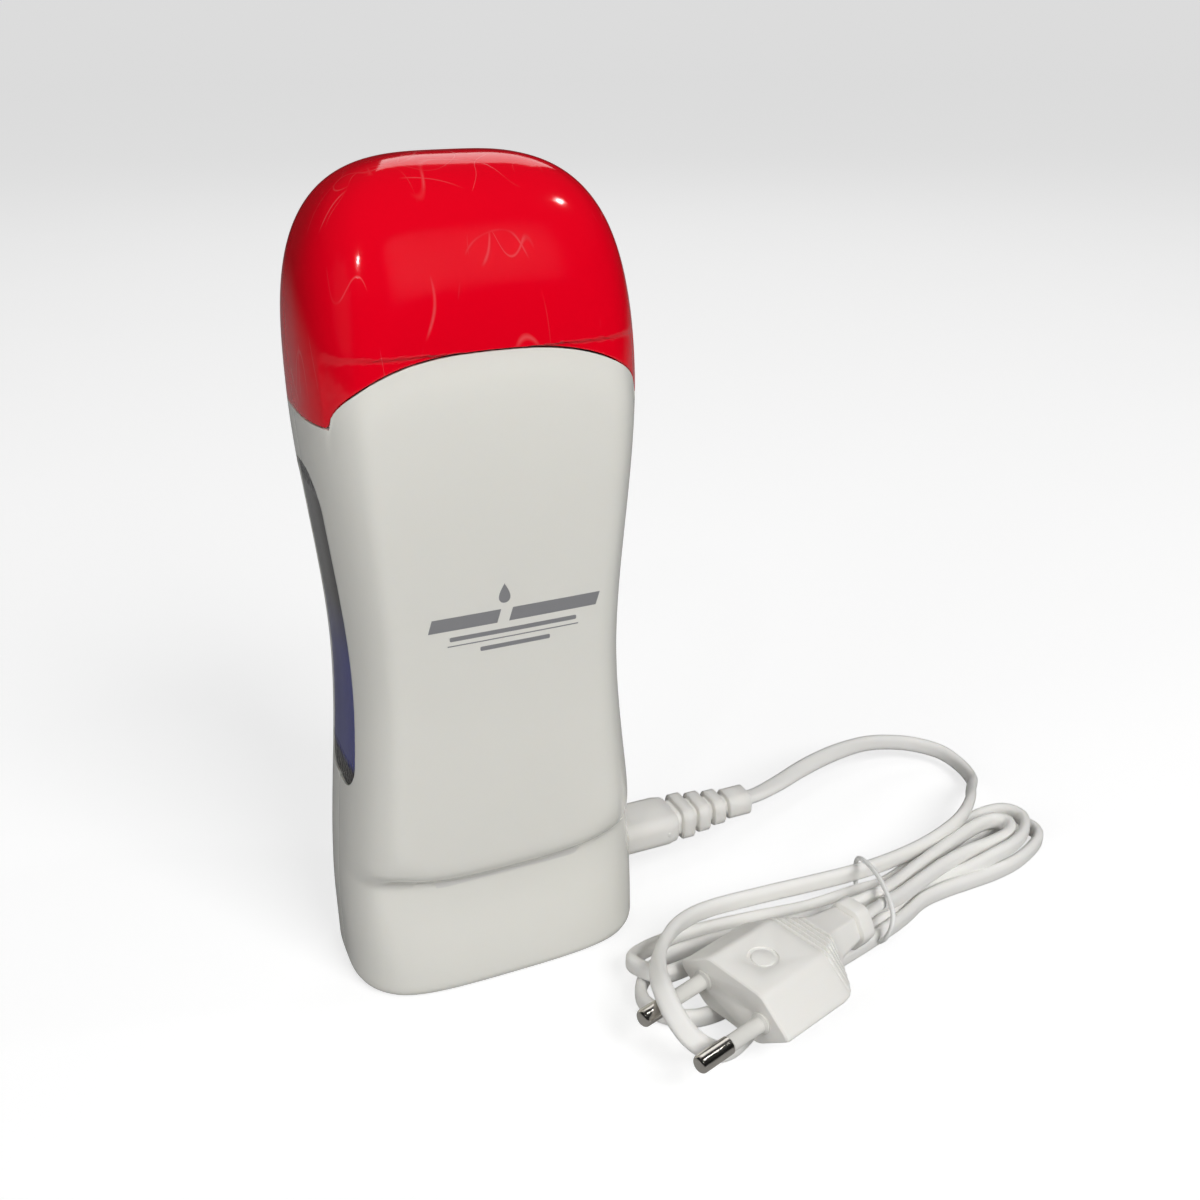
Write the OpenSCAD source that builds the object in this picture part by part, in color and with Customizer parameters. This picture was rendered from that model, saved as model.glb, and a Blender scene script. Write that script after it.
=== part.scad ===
// Roll-on wax heater: an upright hand-held heater for a wax cartridge, with a lift-off cap
// and a detachable mains lead. Millimetres. The heater stands on z = 0, its front faces -Y,
// and the mains inlet is in the narrow side towards +X.

/* [Heater body] */
// Height of the whole heater with its cap on
total_h = 185; // [175:1:225]
// Width of the base
base_w = 72; // [68:1:88]
// Width of the waist, where the hand holds it
waist_w = 62; // [61:0.5:76]
// Width of the head under the cap
head_w = 69; // [64:1:84]
// Depth of the head, front to back
head_d = 52.6; // [50:0.2:64]
// Depth of the grip in front of the part line
grip_front_d = 22.8; // [22:0.1:28]
// Depth of the grip behind the part line
grip_rear_d = 25.4; // [25:0.1:31]
// Height of the waist above the table
waist_z = 82; // [74:1:100]
// Wall of the two shells
shell_wall = 2.2; // [1.6:0.1:2.6]

/* [Cap] */
// Height of the cap's lower edge at the narrow sides
cap_z = 138; // [132:1:142]
// Rise of the arched edge at the front and the back
arch_rise = 13.3; // [8:0.1:13.5]
// Width of the arch
arch_w = 63; // [56:0.5:63]
// Wall of the cap
cap_wall = 2; // [1.6:0.1:2.2]
// Gap between the cap's edge and the shells
cap_gap = 0.4; // [0.3:0.1:0.8]

/* [Front panel] */
// Height of the crease where the raised panel ends
crease_z = 29.6; // [24:0.2:32]
// Height of the rolled lower edge of the panel
roll_h = 4.6; // [3:0.2:6]
// How far the crease lies behind the panel
roll_d = 1.6; // [0.8:0.1:2]

/* [Side window] */
// Height of the window's lower end above the table
window_z = 52.5; // [48:0.5:60]
// Length of the window
window_h = 74; // [60:1:80]
// Width of the window
window_w = 22; // [18:0.5:24]
// Thickness of the window
window_t = 1.6; // [1.2:0.1:2]

/* [Cartridge pocket] */
// Width of the pocket, for the wax cartridge
pocket_w = 52; // [48:0.5:52]
// Depth of the pocket, front to back
pocket_d = 33; // [30:0.5:33]
// Wall of the pocket
pocket_wall = 1.3; // [1:0.1:1.4]
// Height of the pocket's underside above the table
pocket_z = 28; // [26:0.5:32]

/* [Heating] */
// Thickness of the aluminium heating plate
plate_t = 1.5; // [1:0.1:1.8]
// Width of the heating plate
plate_w = 34; // [30:1:36]
// Length of the heating plate
plate_h = 96; // [80:1:100]
// Thickness of the heating element
element_t = 4; // [3:0.1:4.2]

/* [Mains inlet and lead] */
// Height of the inlet's axis above the table
inlet_z = 16.8; // [14:0.2:18]
// Radius of the inlet's pins
inlet_pin_r = 1.2; // [1.1:0.05:1.3]
// Length of the connector's grip and strain relief
connector_l = 37.8; // [34:0.2:42]
// Width of the flat cord
cord_w = 4.8; // [4.4:0.1:5.4]
// Thickness of the flat cord
cord_t = 2.9; // [2.6:0.1:3.3]

/* [Hidden] */
$fn = 48;

// Shape of the body
base_z = 14;          // height up to which the base keeps its full width
head_z = 140;         // height at which the head has its full width
grip_z = 66;          // height above which the grip deepens towards the head
corner_n = 3;         // exponent of the rounded cross-section
dome_w_n = 3.2;       // exponent of the cap's outline seen from the front
dome_d_n = 2.26;      // exponent of the cap's outline seen from the side
foot_r = 2.6;         // rounding of the bottom edge
ring_n = 36;          // points round a cross-section
big = 200;            // larger than the heater, for cutting

// Fits
part_gap = 0.1;       // between the two shells
fit_gap = 0.15;       // between pieces that sit in each other
neck_gap = 0.5;       // between the cap and the ring that it slides over
neck_fit = 0.3;       // between the shells and the ring
neck_t = 1.5;
neck_top_z = cap_z + 18;
deck_z = cap_z + 12;
deck_t = 1.5;
ledge_z = cap_z - 8;
ledge_w = 2.4;
shelf_t = 2;
shelf_hole = [44, 26, 6];      // width, depth and corner of the opening below the pocket
wire_slot_w = 24;              // opening in the shelf for the wires behind the pocket

// Cartridge pocket and what is mounted on it
pocket_y = -1;
pocket_r = 12;
plate_back_y = pocket_y + pocket_d / 2 + pocket_wall;
plate_front_y = plate_back_y - plate_t;
plate_z = pocket_z + 14;
pocket_floor_t = 2;
pocket_drain_r = 5;
pocket_flange = 1.2;           // width and thickness of the rim that seats on the deck
pocket_slot_w = 14;            // opening in the pocket's side, behind the window
element_w = 26;
element_h = 22;
element_z = waist_z + 6;
clip_t = 0.5;
clip_h = 8;
sheet_t = 0.4;
sheet_y = plate_back_y + element_t + clip_t + 0.2;
thermostat_size = [8, 3.6, 20];
thermostat_x = -7;
thermostat_z = element_z - 24;
fuse_r = 1.9;
fuse_l = 12;
fuse_x = 6;
fuse_z = element_z - 18;
wire_r = 0.9;
wire_y = plate_back_y + 2.2;

// Shell screws
screw_x = 13;
screw_z = 8.5;
screw_r = 1.4;
screw_head_r = 2.6;
boss_r = 3.4;
screw_head_y = 14;

// Inlet and connector: the common figure-8 mains coupler
inlet_x = base_w / 2 - 0.8;
pin_y = 4.3;
recess_r = 4.3;
recess_y = 2.85;
recess_l = 12;
inlet_l = 16;
inlet_w = 18.4;
inlet_h = 12.4;
inlet_r = 4;
pin_l = 9.6;
nose_r = 4;
nose_l = 10.6;
contact_r = 1.85;
contact_gap = 0.05;
grip_x = base_w / 2 + 0.2;
grip_l = 13.4;
grip_w = 14;
grip_h = 8.6;
grip_r = 3;
relief_end_w = 7.4;
relief_end_h = 6;
rib_n = 5;

// Plug: the common flat two-pin Euro plug, lying on the hank's lower runs
plug_at = [36, -62, 11.75];
plug_turn = 17;
plug_w = 34;
plug_t = 13.7;
plug_flat_w = 16;
plug_l = 20;
plug_neck_l = 38;
collar_l = 4.5;
collar_w = 13;
plug_pin_r = 2;
plug_pin_l = 19;
plug_pin_y = 8.75;
sleeve_l = 10;
sleeve_r = 1.8;
pin_core_r = 1.4;
pin_root_l = 9;

// Hank: two layers of runs, each a cord's width high
hank_low_h = 4.8;
hank_high_h = 9.8;
tie_r = 0.6;

// Route of the free cord from the strain relief to the hank: x, y, z and the turn of its flat side
lead_route = [
    [72, 0, 16.8, 0], [78, 0.6, 16.7, 0], [86, 3.4, 16.3, 10], [97, 8.5, 15.4, 30],
    [107, 13, 14, 50], [117, 17, 12.2, 70], [127, 20, 10.2, 85], [136, 20.6, 8.2, 90],
    [144.5, 19, 6.2, 90], [151, 14, 4.6, 90], [153, 6.5, 3.2, 90], [150.5, -1.5, 3.6, 90],
    [144.5, -8, 6, 90], [138, -15.5, 9, 90], [130, -22, 9.8, 90], [122, -25.4, 9, 90],
    [112, -27.4, 7.8, 90], [100, -28.8, 7.4, 90], [88, -29.8, 8, 90]
];
// Route of the front loop, over one plug pin and back under the plug
loop_route = [
    [58, -27.2, 7.4, 90], [50, -27.4, 7.8, 90], [42.5, -29.6, 9, 90], [35.5, -34, 10.6, 84],
    [28.5, -41.5, 12.4, 70], [24, -49.5, 14.4, 50], [21.6, -57, 15.9, 35], [21.4, -63, 14, 35],
    [23.4, -67.4, 10.6, 50], [28, -69, 6.6, 80], [34, -67, 3.4, 90], [41, -63, 2.4, 90],
    [48, -59, 2.4, 90]
];
// Short stretch of cord between the plug's collar and the hank
plug_route = [
    [plug_at[0] + plug_neck_l * cos(plug_turn) + 2, plug_at[1] + plug_neck_l * sin(plug_turn) + 0.6, 11.7, 20],
    [82, -47.6, 11, 40], [88, -44.6, 9, 70], [95, -42, 7.4, 90]
];
// Route of the wire tie round the bundle
tie_route = [
    [84, -51, 4], [85, -52.4, 8], [86.5, -50.5, 11.6], [88.5, -44, 13.6], [90, -37, 13.8],
    [91, -30, 12.2], [91.9, -27.3, 8.2], [91.6, -28.4, 3.6], [89.8, -33, 0.7], [87, -40, 0.7], [85, -46.6, 0.8]
];

// ---- outline of the body ----

function ease(t) = let (u = min(1, max(0, t))) u * u * (3 - 2 * u);
function blend(a, b, t) = a + (b - a) * ease(t);
function spow(v, n) = sign(v) * pow(abs(v), 2 / n);
function dome(z, top, n) =
    z <= cap_z ? 1 : pow(1 - pow(min(0.999, (z - cap_z) / (top - cap_z)), n), 1 / n);
function foot(z) = z < foot_r ? foot_r - sqrt(max(0, foot_r * foot_r - pow(foot_r - z, 2))) : 0;

// Half the width at height z
function half_w(z) =
    (z < waist_z ? blend(waist_w, base_w, (waist_z - z) / (waist_z - base_z))
                 : blend(waist_w, head_w, (z - waist_z) / (head_z - waist_z))) / 2;

// Depth behind the part line at height z
function rear_d(z) = blend(grip_rear_d, head_d / 2, (z - grip_z) / (head_z - grip_z));

// Depth in front of the part line at height z: the base block slopes back to the crease,
// and the panel rolls out again above it
function front_d(z) =
    let (full = blend(grip_front_d, head_d / 2, (z - grip_z) / (head_z - grip_z)))
    z < crease_z ? full + 0.4 - (roll_d + 0.4) * ease(z / crease_z)
                 : full - roll_d * (1 - sqrt(1 - pow(1 - min(1, (z - crease_z) / roll_h), 2)));

// Cross-section at height z, drawn in by inset on every side
function section(z, inset) =
    let (top = total_h - inset,
         w = (half_w(z) - inset) * dome(z, top, dome_w_n) - foot(z),
         f = (front_d(z) - inset) * dome(z, top, dome_d_n) - foot(z),
         r = (rear_d(z) - inset) * dome(z, top, dome_d_n) - foot(z))
    [for (i = [0:ring_n - 1])
        let (a = 360 * i / ring_n, s = spow(sin(a), corner_n))
        [w * spow(cos(a), corner_n), s < 0 ? f * s : r * s]];

// Cross-section at height z as points in space
function ring(z, inset) = [for (p = section(z, inset)) [p[0], p[1], z]];

// Solid through the cross-sections at the given heights, one convex slab after another
module loft(levels, inset) {
    low = [for (k = [ring_n - 1:-1:0]) k];
    high = [for (k = [0:ring_n - 1]) ring_n + k];
    walls = [for (k = [0:ring_n - 1]) let (m = (k + 1) % ring_n) [k, m, ring_n + m, ring_n + k]];
    for (i = [0:len(levels) - 2])
        hull() polyhedron(points = concat(ring(levels[i], inset), ring(levels[i + 1], inset)),
                          faces = concat([low, high], walls));
}

// Heights of count + 1 even steps
function steps(from, to, count) = [for (i = [0:count]) from + (to - from) * i / count];

roll_top_z = crease_z + roll_h;
body_levels = concat([0, 0.7, foot_r, 14, crease_z, crease_z + roll_h / 3],
                     steps(roll_top_z, head_z, 9), [head_z + 6, head_z + 12]);
hollow_levels = concat([shell_wall, crease_z + 1], steps(roll_top_z + shell_wall, head_z, 8),
                       [head_z + 7, head_z + 14]);

function dome_levels(from, top) = concat([from], [for (i = [1:9]) cap_z + (top - cap_z) * sin(10 * i)]);

// ---- shared outlines ----

function arch_z(x) =
    cap_z + (abs(x) < arch_w / 2 ? arch_rise * sqrt(1 - pow(abs(x) / (arch_w / 2), 2.4)) : 0);

// Everything above the arched parting line between shells and cap
module above_arch(lift) {
    arch = [for (i = [-12:12]) let (x = arch_w / 2 * sin(7.5 * i)) [x, arch_z(x) + lift]];
    rotate([90, 0, 0])
        linear_extrude(big, center = true)
            polygon(concat([[-big / 2, cap_z + lift]], arch,
                           [[big / 2, cap_z + lift], [big / 2, big + 40], [-big / 2, big + 40]]));
}

// Flat window outline in the YZ plane, pushed through the left side
module window_prism(grow) {
    top_r = window_w / 2 - 2.5;
    low_r = window_w / 2 - 4;
    translate([-big / 4 - 10, 0, 0]) rotate([90, 0, 90])
        linear_extrude(big / 4)
            offset(delta = grow)
                hull() {
                    for (s = [-1, 1]) {
                        translate([s * 2.5, window_z + window_h - top_r]) circle(top_r, $fn = 32);
                        translate([s * 2.5, window_z + low_r]) circle(low_r, $fn = 32);
                    }
                }
}

module rounded_rect(w, h, r) {
    square([w - 2 * r, h], center = true);
    square([w, h - 2 * r], center = true);
    for (x = [-1, 1], y = [-1, 1]) translate([x * (w / 2 - r), y * (h / 2 - r)]) circle(r);
}

// Extrusion along +X of an outline drawn in Y and Z
module along_x(x, length) {
    translate([x, 0, 0]) rotate([90, 0, 90]) linear_extrude(length) children();
}

module inlet_outline(grow) {
    translate([0, inlet_z]) rounded_rect(inlet_w + 2 * grow, inlet_h + 2 * grow, inlet_r + grow);
}

// Round bar along +Y at (x, z)
module bar_y(x, z, r, y0, y1) {
    translate([x, y0, z]) rotate([-90, 0, 0]) cylinder(r = r, h = y1 - y0, $fn = 32);
}

// ---- swept tubes ----

function unit(v) = v / norm(v);
function xyz(p) = [p[0], p[1], p[2]];
function spline(p0, p1, p2, p3, t) =
    0.5 * (2 * p1 + (p2 - p0) * t + (2 * p0 - 5 * p1 + 4 * p2 - p3) * t * t
           + (3 * p1 - p0 - 3 * p2 + p3) * t * t * t);
function at(route, i, closed) =
    closed ? route[(i + len(route)) % len(route)] : route[max(0, min(len(route) - 1, i))];

// Smooth path through the route's points, with n rings for each stretch
function smooth(route, n, closed = false) =
    [for (i = [0:len(route) - (closed ? 1 : 2)], k = [0:n - 1])
        spline(at(route, i - 1, closed), at(route, i, closed),
               at(route, i + 1, closed), at(route, i + 2, closed), k / n),
     if (!closed) route[len(route) - 1]];

// Oval tube of width w and thickness t; the fourth value of a point turns the flat side
module tube(path, w, t, sides = 8, closed = false) {
    n = len(path);
    rings = [for (i = [0:n - 1])
        let (p = xyz(path[i]),
             q = unit(xyz(at(path, i + 1, closed)) - xyz(at(path, i - 1, closed))),
             side = unit(cross([0.02, -0.01, 1], q)),
             up = cross(q, side),
             turn = len(path[i]) > 3 ? path[i][3] : 0)
        for (k = [0:sides - 1])
            let (a = 360 * (k + 0.5) / sides, u = w / 2 * cos(a), v = t / 2 * sin(a))
            p + side * (u * cos(turn) - v * sin(turn)) + up * (u * sin(turn) + v * cos(turn))];
    walls = [for (i = [0:n - (closed ? 1 : 2)], k = [0:sides - 1])
        let (a = i * sides, b = ((i + 1) % n) * sides, m = (k + 1) % sides)
        each [[a + k, a + m, b + m], [a + k, b + m, b + k]]];
    ends = closed ? [] : [[for (k = [sides - 1:-1:0]) k],
                          [for (k = [0:sides - 1]) (n - 1) * sides + k]];
    polyhedron(points = rings, faces = [for (f = concat(walls, ends)) [for (i = [len(f) - 1:-1:0]) f[i]]]);
}

// ---- housing ----

module screw_places() {
    for (s = [-1, 1]) translate([s * screw_x, 0, 0]) children();
}

// One wall of the housing, all round, with the shelf and the ledge inside it
module housing() {
    difference() {
        loft(body_levels, 0);
        difference() {
            loft(hollow_levels, shell_wall);
            difference() {
                translate([-big / 2, -big / 2, pocket_z - shelf_t]) cube([big, big, shelf_t]);
                translate([0, 0, pocket_z / 2]) linear_extrude(pocket_z) {
                    rounded_rect(shelf_hole[0], shelf_hole[1], shelf_hole[2]);
                    translate([-wire_slot_w / 2, 0]) square([wire_slot_w, head_d]);
                }
            }
            difference() {
                translate([-big / 2, -big / 2, ledge_z - shelf_t]) cube([big, big, shelf_t]);
                loft([ledge_z - 10, ledge_z + 10], shell_wall + ledge_w);
            }
            screw_places() bar_y(0, screw_z, boss_r, -head_d, head_d);
        }
        above_arch(-cap_gap / 2);
        window_prism(fit_gap);
        along_x(base_w / 4, base_w) inlet_outline(fit_gap);
        translate([base_w / 4, -inlet_w / 2 - 2, inlet_z - inlet_h / 2 - 2])
            cube([base_w / 4 - 4.2, inlet_w + 4, inlet_h + 4]);
        screw_places() {
            bar_y(0, screw_z, screw_r + 0.2, -head_d / 4, head_d);
            bar_y(0, screw_z, screw_head_r + 0.3, screw_head_y, head_d);
        }
    }
}

module front_shell() {
    color("ivory") intersection() {
        housing();
        translate([-big / 2, -big - part_gap / 2, -1]) cube([big, big, big]);
    }
}

module rear_shell() {
    color("ivory") intersection() {
        housing();
        translate([-big / 2, part_gap / 2, -1]) cube([big, big, big]);
    }
}

module cap() {
    color("red") intersection() {
        difference() {
            loft(dome_levels(cap_z - 1, total_h), 0);
            loft(dome_levels(cap_z - 3, total_h - cap_wall), cap_wall);
        }
        above_arch(cap_gap / 2);
    }
}

module side_window() {
    levels = steps(window_z - 2, window_z + window_h + 2, 9);
    color("lightblue", 0.5) intersection() {
        difference() {
            loft(levels, 0.3);
            loft(steps(window_z - 3, window_z + window_h + 3, 9), 0.3 + window_t);
        }
        window_prism(0);
    }
}

module neck_ring() {
    outer = max(cap_wall + neck_gap, shell_wall + neck_fit);
    color("ivory") difference() {
        loft(steps(ledge_z, neck_top_z, 7), outer);
        loft(concat(steps(ledge_z - 1, deck_z, 4)), outer + neck_t);
        loft(steps(deck_z + deck_t, neck_top_z + 1, 3), outer + neck_t);
        translate([0, pocket_y, deck_z - 1]) linear_extrude(deck_t + 2)
            rounded_rect(pocket_w + 2 * (pocket_wall + fit_gap), pocket_d + 2 * (pocket_wall + fit_gap),
                         pocket_r + pocket_wall + fit_gap);
    }
}

// ---- pocket and heating ----

module pocket_outline(grow) {
    translate([0, pocket_y]) rounded_rect(pocket_w + 2 * grow, pocket_d + 2 * grow, pocket_r + grow);
}

module cartridge_pocket() {
    top = deck_z + deck_t;
    color("gainsboro") difference() {
        union() {
            translate([0, 0, pocket_z]) linear_extrude(top - pocket_z) pocket_outline(pocket_wall);
            translate([0, 0, top]) linear_extrude(pocket_flange)
                pocket_outline(pocket_wall + pocket_flange);
        }
        translate([0, 0, pocket_z + pocket_floor_t]) linear_extrude(top) pocket_outline(0);
        translate([0, pocket_y, pocket_z - 1]) cylinder(r = pocket_drain_r, h = 2 * pocket_floor_t);
        translate([-plate_w / 2 - fit_gap, plate_front_y - 4, plate_z - fit_gap])
            cube([plate_w + 2 * fit_gap, 10, plate_h + 2 * fit_gap]);
        translate([-pocket_w, -pocket_slot_w / 2, window_z + 3])
            cube([pocket_w, pocket_slot_w, window_h - 8]);
    }
}

module heating_plate() {
    color("silver")
        translate([-plate_w / 2, plate_front_y, plate_z]) cube([plate_w, plate_t, plate_h]);
}

module heating_element() {
    color("dimgray") difference() {
        translate([-element_w / 2, plate_back_y, element_z]) cube([element_w, element_t, element_h]);
        for (x = [thermostat_x, fuse_x]) translate([x, plate_back_y + 2.2, element_z - 1])
            cylinder(r = wire_r, h = 4);
    }
}

module element_clip() {
    inner = element_w / 2 + 0.3;
    outer = inner + 1;
    z = element_z + (element_h - clip_h) / 2;
    color("lightsteelblue") {
        translate([-outer, plate_back_y + element_t, z]) cube([2 * outer, clip_t, clip_h]);
        for (x = [-outer, inner]) translate([x, plate_back_y, z]) cube([1, element_t, clip_h]);
    }
}

module insulation_sheet() {
    color("goldenrod")
        translate([-element_w / 2 + 1, sheet_y, element_z - 8])
            cube([element_w - 2, sheet_t, element_h + 16]);
}

module thermostat() {
    size = thermostat_size;
    color("black") {
        translate([thermostat_x - size[0] / 2, plate_back_y, thermostat_z]) cube(size);
    }
}

module thermal_fuse() {
    color("tan")
        translate([fuse_x, plate_back_y + 2.2, fuse_z]) cylinder(r = fuse_r, h = fuse_l);
}

// Wire from an inlet pin up the back of the pocket, with a bridge on to the element
module wire(y_sign, x_top, top_z, bridge_z) {
    x0 = inlet_x - inlet_l - 2.4;
    z1 = pocket_z - shelf_t / 2;
    route = [[x0, y_sign * pin_y, inlet_z], [x0 - 3, y_sign * pin_y * 0.8 + 1, inlet_z + 0.4],
             [x_top + 5, 12 + y_sign * 2, inlet_z + 2], [x_top + 1.5, wire_y - 1.4, z1 - 3],
             [x_top + 0.2, wire_y - 0.2, z1 + 5], [x_top, wire_y, (z1 + top_z) / 2],
             [x_top - 0.2, wire_y, top_z - 0.1]];
    tube(smooth(route, 3), 2 * wire_r, 2 * wire_r);
    translate([x_top, wire_y, bridge_z]) cylinder(r = wire_r - 0.1, h = element_z + 2.9 - bridge_z);
}

module live_wire() {
    color("saddlebrown") wire(-1, thermostat_x, thermostat_z, thermostat_z + thermostat_size[2]);
}

module neutral_wire() {
    color("royalblue") wire(1, fuse_x, fuse_z, fuse_z + fuse_l);
}

// ---- inlet, screws ----

module inlet_housing() {
    color("whitesmoke") difference() {
        union() {
            along_x(inlet_x - inlet_l, inlet_l) inlet_outline(0);
            along_x(inlet_x - 5.4, 1.5) inlet_outline(1.6);
        }
        along_x(inlet_x - recess_l, recess_l + 1) figure_eight(recess_r);
        for (s = [-1, 1]) translate([inlet_x - inlet_l - 1, s * pin_y, inlet_z]) rotate([0, 90, 0])
            cylinder(r = inlet_pin_r, h = inlet_l);
    }
}

// The coupler's outline: two circles and what lies between them
module figure_eight(r) {
    translate([0, inlet_z]) {
        square([2 * recess_y, 2 * r], center = true);
        for (s = [-1, 1]) translate([s * recess_y, 0]) circle(r);
    }
}

module inlet_pins() {
    start = inlet_x - inlet_l - 2.4;
    color("gold") for (s = [-1, 1])
        translate([start, s * pin_y, inlet_z]) rotate([0, 90, 0])
            cylinder(r = inlet_pin_r, h = inlet_x - recess_l + pin_l - start);
}

module shell_screws() {
    color("dimgray") screw_places() {
        difference() {
            bar_y(0, screw_z, screw_head_r, screw_head_y + 0.02, screw_head_y + 2);
            translate([0, screw_head_y + 1.6, screw_z]) {
                cube([3.4, 2, 0.7], center = true);
                cube([0.7, 2, 3.4], center = true);
            }
        }
        bar_y(0, screw_z, screw_r, -head_d / 4 + 1, screw_head_y + 0.02);
    }
}

// ---- mains lead ----

module connector_body() {
    relief_x = grip_x + grip_l;
    end_x = grip_x + connector_l;
    rib_pitch = (connector_l - grip_l) / rib_n;
    tip_x = grip_x - nose_l;
    color("whitesmoke") difference() {
        union() {
            along_x(tip_x, nose_l) figure_eight(nose_r);
            along_x(grip_x, grip_l) translate([0, inlet_z]) rounded_rect(grip_w, grip_h, grip_r);
            hull() {
                along_x(relief_x, 0.1) translate([0, inlet_z])
                    rounded_rect(grip_w - 4, grip_h - 2.4, 2.4, $fn = 32);
                along_x(end_x - 0.1, 0.1) translate([0, inlet_z])
                    rounded_rect(relief_end_w - 0.6, relief_end_h - 0.6, 2.2, $fn = 32);
            }
            for (i = [0:rib_n - 1])
                along_x(relief_x + (i + 0.4) * rib_pitch, rib_pitch * 0.6) translate([0, inlet_z])
                    rounded_rect(blend_even(grip_w - 0.8, relief_end_w, i / (rib_n - 1)),
                                 blend_even(grip_h - 0.6, relief_end_h, i / (rib_n - 1)), 2.4);
        }
        for (s = [-1, 1]) translate([tip_x - 1, s * pin_y, inlet_z]) rotate([0, 90, 0])
            cylinder(r = contact_r, h = nose_l - 0.5);
        along_x(72, 10) cord_outline();
    }
}

function blend_even(a, b, t) = a + (b - a) * t;

module cord_outline() {
    translate([0, inlet_z]) resize([cord_w, cord_t]) circle(1, $fn = 16);
}

module connector_contacts() {
    tip_x = grip_x - nose_l;
    color("gold") for (s = [-1, 1])
        translate([tip_x + 0.3, s * pin_y, inlet_z]) rotate([0, 90, 0]) difference() {
            cylinder(r = contact_r, h = nose_l - 1.8);
            translate([0, 0, -1]) cylinder(r = inlet_pin_r + contact_gap, h = nose_l - 1.8);
        }
}

module cord_lead() {
    color("white") tube(smooth(lead_route, 2), cord_w, cord_t);
}

module cord_loop() {
    color("white") {
        tube(smooth(loop_route, 2), cord_w, cord_t);
        tube(smooth(plug_route, 2), cord_w, cord_t);
    }
}

// Outer shape of the tied runs: a low layer under the plug and a high layer behind it
module cord_hank() {
    color("white") {
        linear_extrude(hank_low_h) {
            hull() {
                translate([38, -45.5]) circle(14.5, $fn = 32);
                translate([90, -41]) circle(9, $fn = 32);
            }
            hull() {
                translate([90, -41]) circle(9, $fn = 32);
                translate([142, -31]) circle(9, $fn = 32);
            }
        }
        translate([0, 0, hank_low_h]) linear_extrude(hank_high_h - hank_low_h) {
            hull() {
                translate([52, -29.5]) circle(4.5, $fn = 32);
                translate([90, -33.5]) circle(6, $fn = 32);
            }
            hull() {
                translate([94, -39.5]) circle(7.5, $fn = 32);
                translate([130, -32]) circle(6.5, $fn = 32);
            }
        }
    }
}

module cord_tie() {
    color("white") tube(smooth(tie_route, 3, true), 2 * tie_r, 2 * tie_r, 8, true);
}

// Places a child in the plug's frame: origin in its face, +X towards the cord
module on_plug() {
    translate(plug_at) rotate([0, 0, plug_turn]) children();
}

// Outline of the plug across its axis: a flattened hexagon
module plug_outline(w, t, flat) {
    polygon([[-w / 2, 0], [-flat / 2, t / 2], [flat / 2, t / 2],
             [w / 2, 0], [flat / 2, -t / 2], [-flat / 2, -t / 2]]);
}

module plug_slice(x, length, w, t, flat) {
    translate([x, 0, 0]) rotate([90, 0, 90]) linear_extrude(length) plug_outline(w, t, flat);
}

module plug_body() {
    color("whitesmoke") on_plug() difference() {
        union() {
            plug_slice(0, plug_l, plug_w, plug_t, plug_flat_w);
            hull() {
                plug_slice(plug_l - 0.1, 0.1, plug_w, plug_t, plug_flat_w);
                plug_slice(plug_l + 7, 0.1, 15, 12, 8);
            }
            hull() {
                plug_slice(plug_l + 7, 0.1, 15, 12, 8);
                plug_slice(plug_neck_l, 0.1, 10.5, 9, 6);
            }
            plug_slice(plug_neck_l - 0.1, collar_l, collar_w, 11.4, 6.4);
        }
        for (s = [-1, 1]) translate([-1, s * plug_pin_y, 0]) rotate([0, 90, 0])
            cylinder(r = pin_core_r, h = pin_root_l + 1);
    }
}

// Turned piece about a pin's axis, pointing out of the plug's face
module on_pins() {
    on_plug() for (s = [-1, 1]) translate([0, s * plug_pin_y, 0]) rotate([0, -90, 0])
        rotate_extrude() children();
}

module plug_pins() {
    tip = 0.8;
    color("silver") on_pins() polygon([
        [0, -pin_root_l], [pin_core_r, -pin_root_l], [pin_core_r, sleeve_l], [plug_pin_r, sleeve_l],
        [plug_pin_r, plug_pin_l - tip], [plug_pin_r - tip, plug_pin_l], [0, plug_pin_l]]);
}

module pin_sleeves() {
    color("whitesmoke") on_pins() translate([pin_core_r, 0])
        square([sleeve_r - pin_core_r, sleeve_l]);
}

front_shell();
rear_shell();
cap();
side_window();
neck_ring();
cartridge_pocket();
heating_plate();
heating_element();
element_clip();
insulation_sheet();
thermostat();
thermal_fuse();
live_wire();
neutral_wire();
inlet_housing();
inlet_pins();
shell_screws();
connector_body();
connector_contacts();
cord_lead();
cord_loop();
cord_hank();
cord_tie();
plug_body();
plug_pins();
pin_sleeves();
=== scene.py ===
"""Looks of a roll-on wax heater that stands upright with its mains lead tied in a hank.

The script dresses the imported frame: two glossy shells, a lift-off cap, a side window, a flat two-core
lead with its connector, hank, wire tie and plug. Everything is in metres, in the frame's own place:
the heater stands on z = 0, its front faces -Y and its mains inlet is in the side towards +X.
"""

import logging
import math
from dataclasses import dataclass, field
from enum import Enum
from typing import Callable

import bpy
from mathutils import Matrix, Vector


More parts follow.
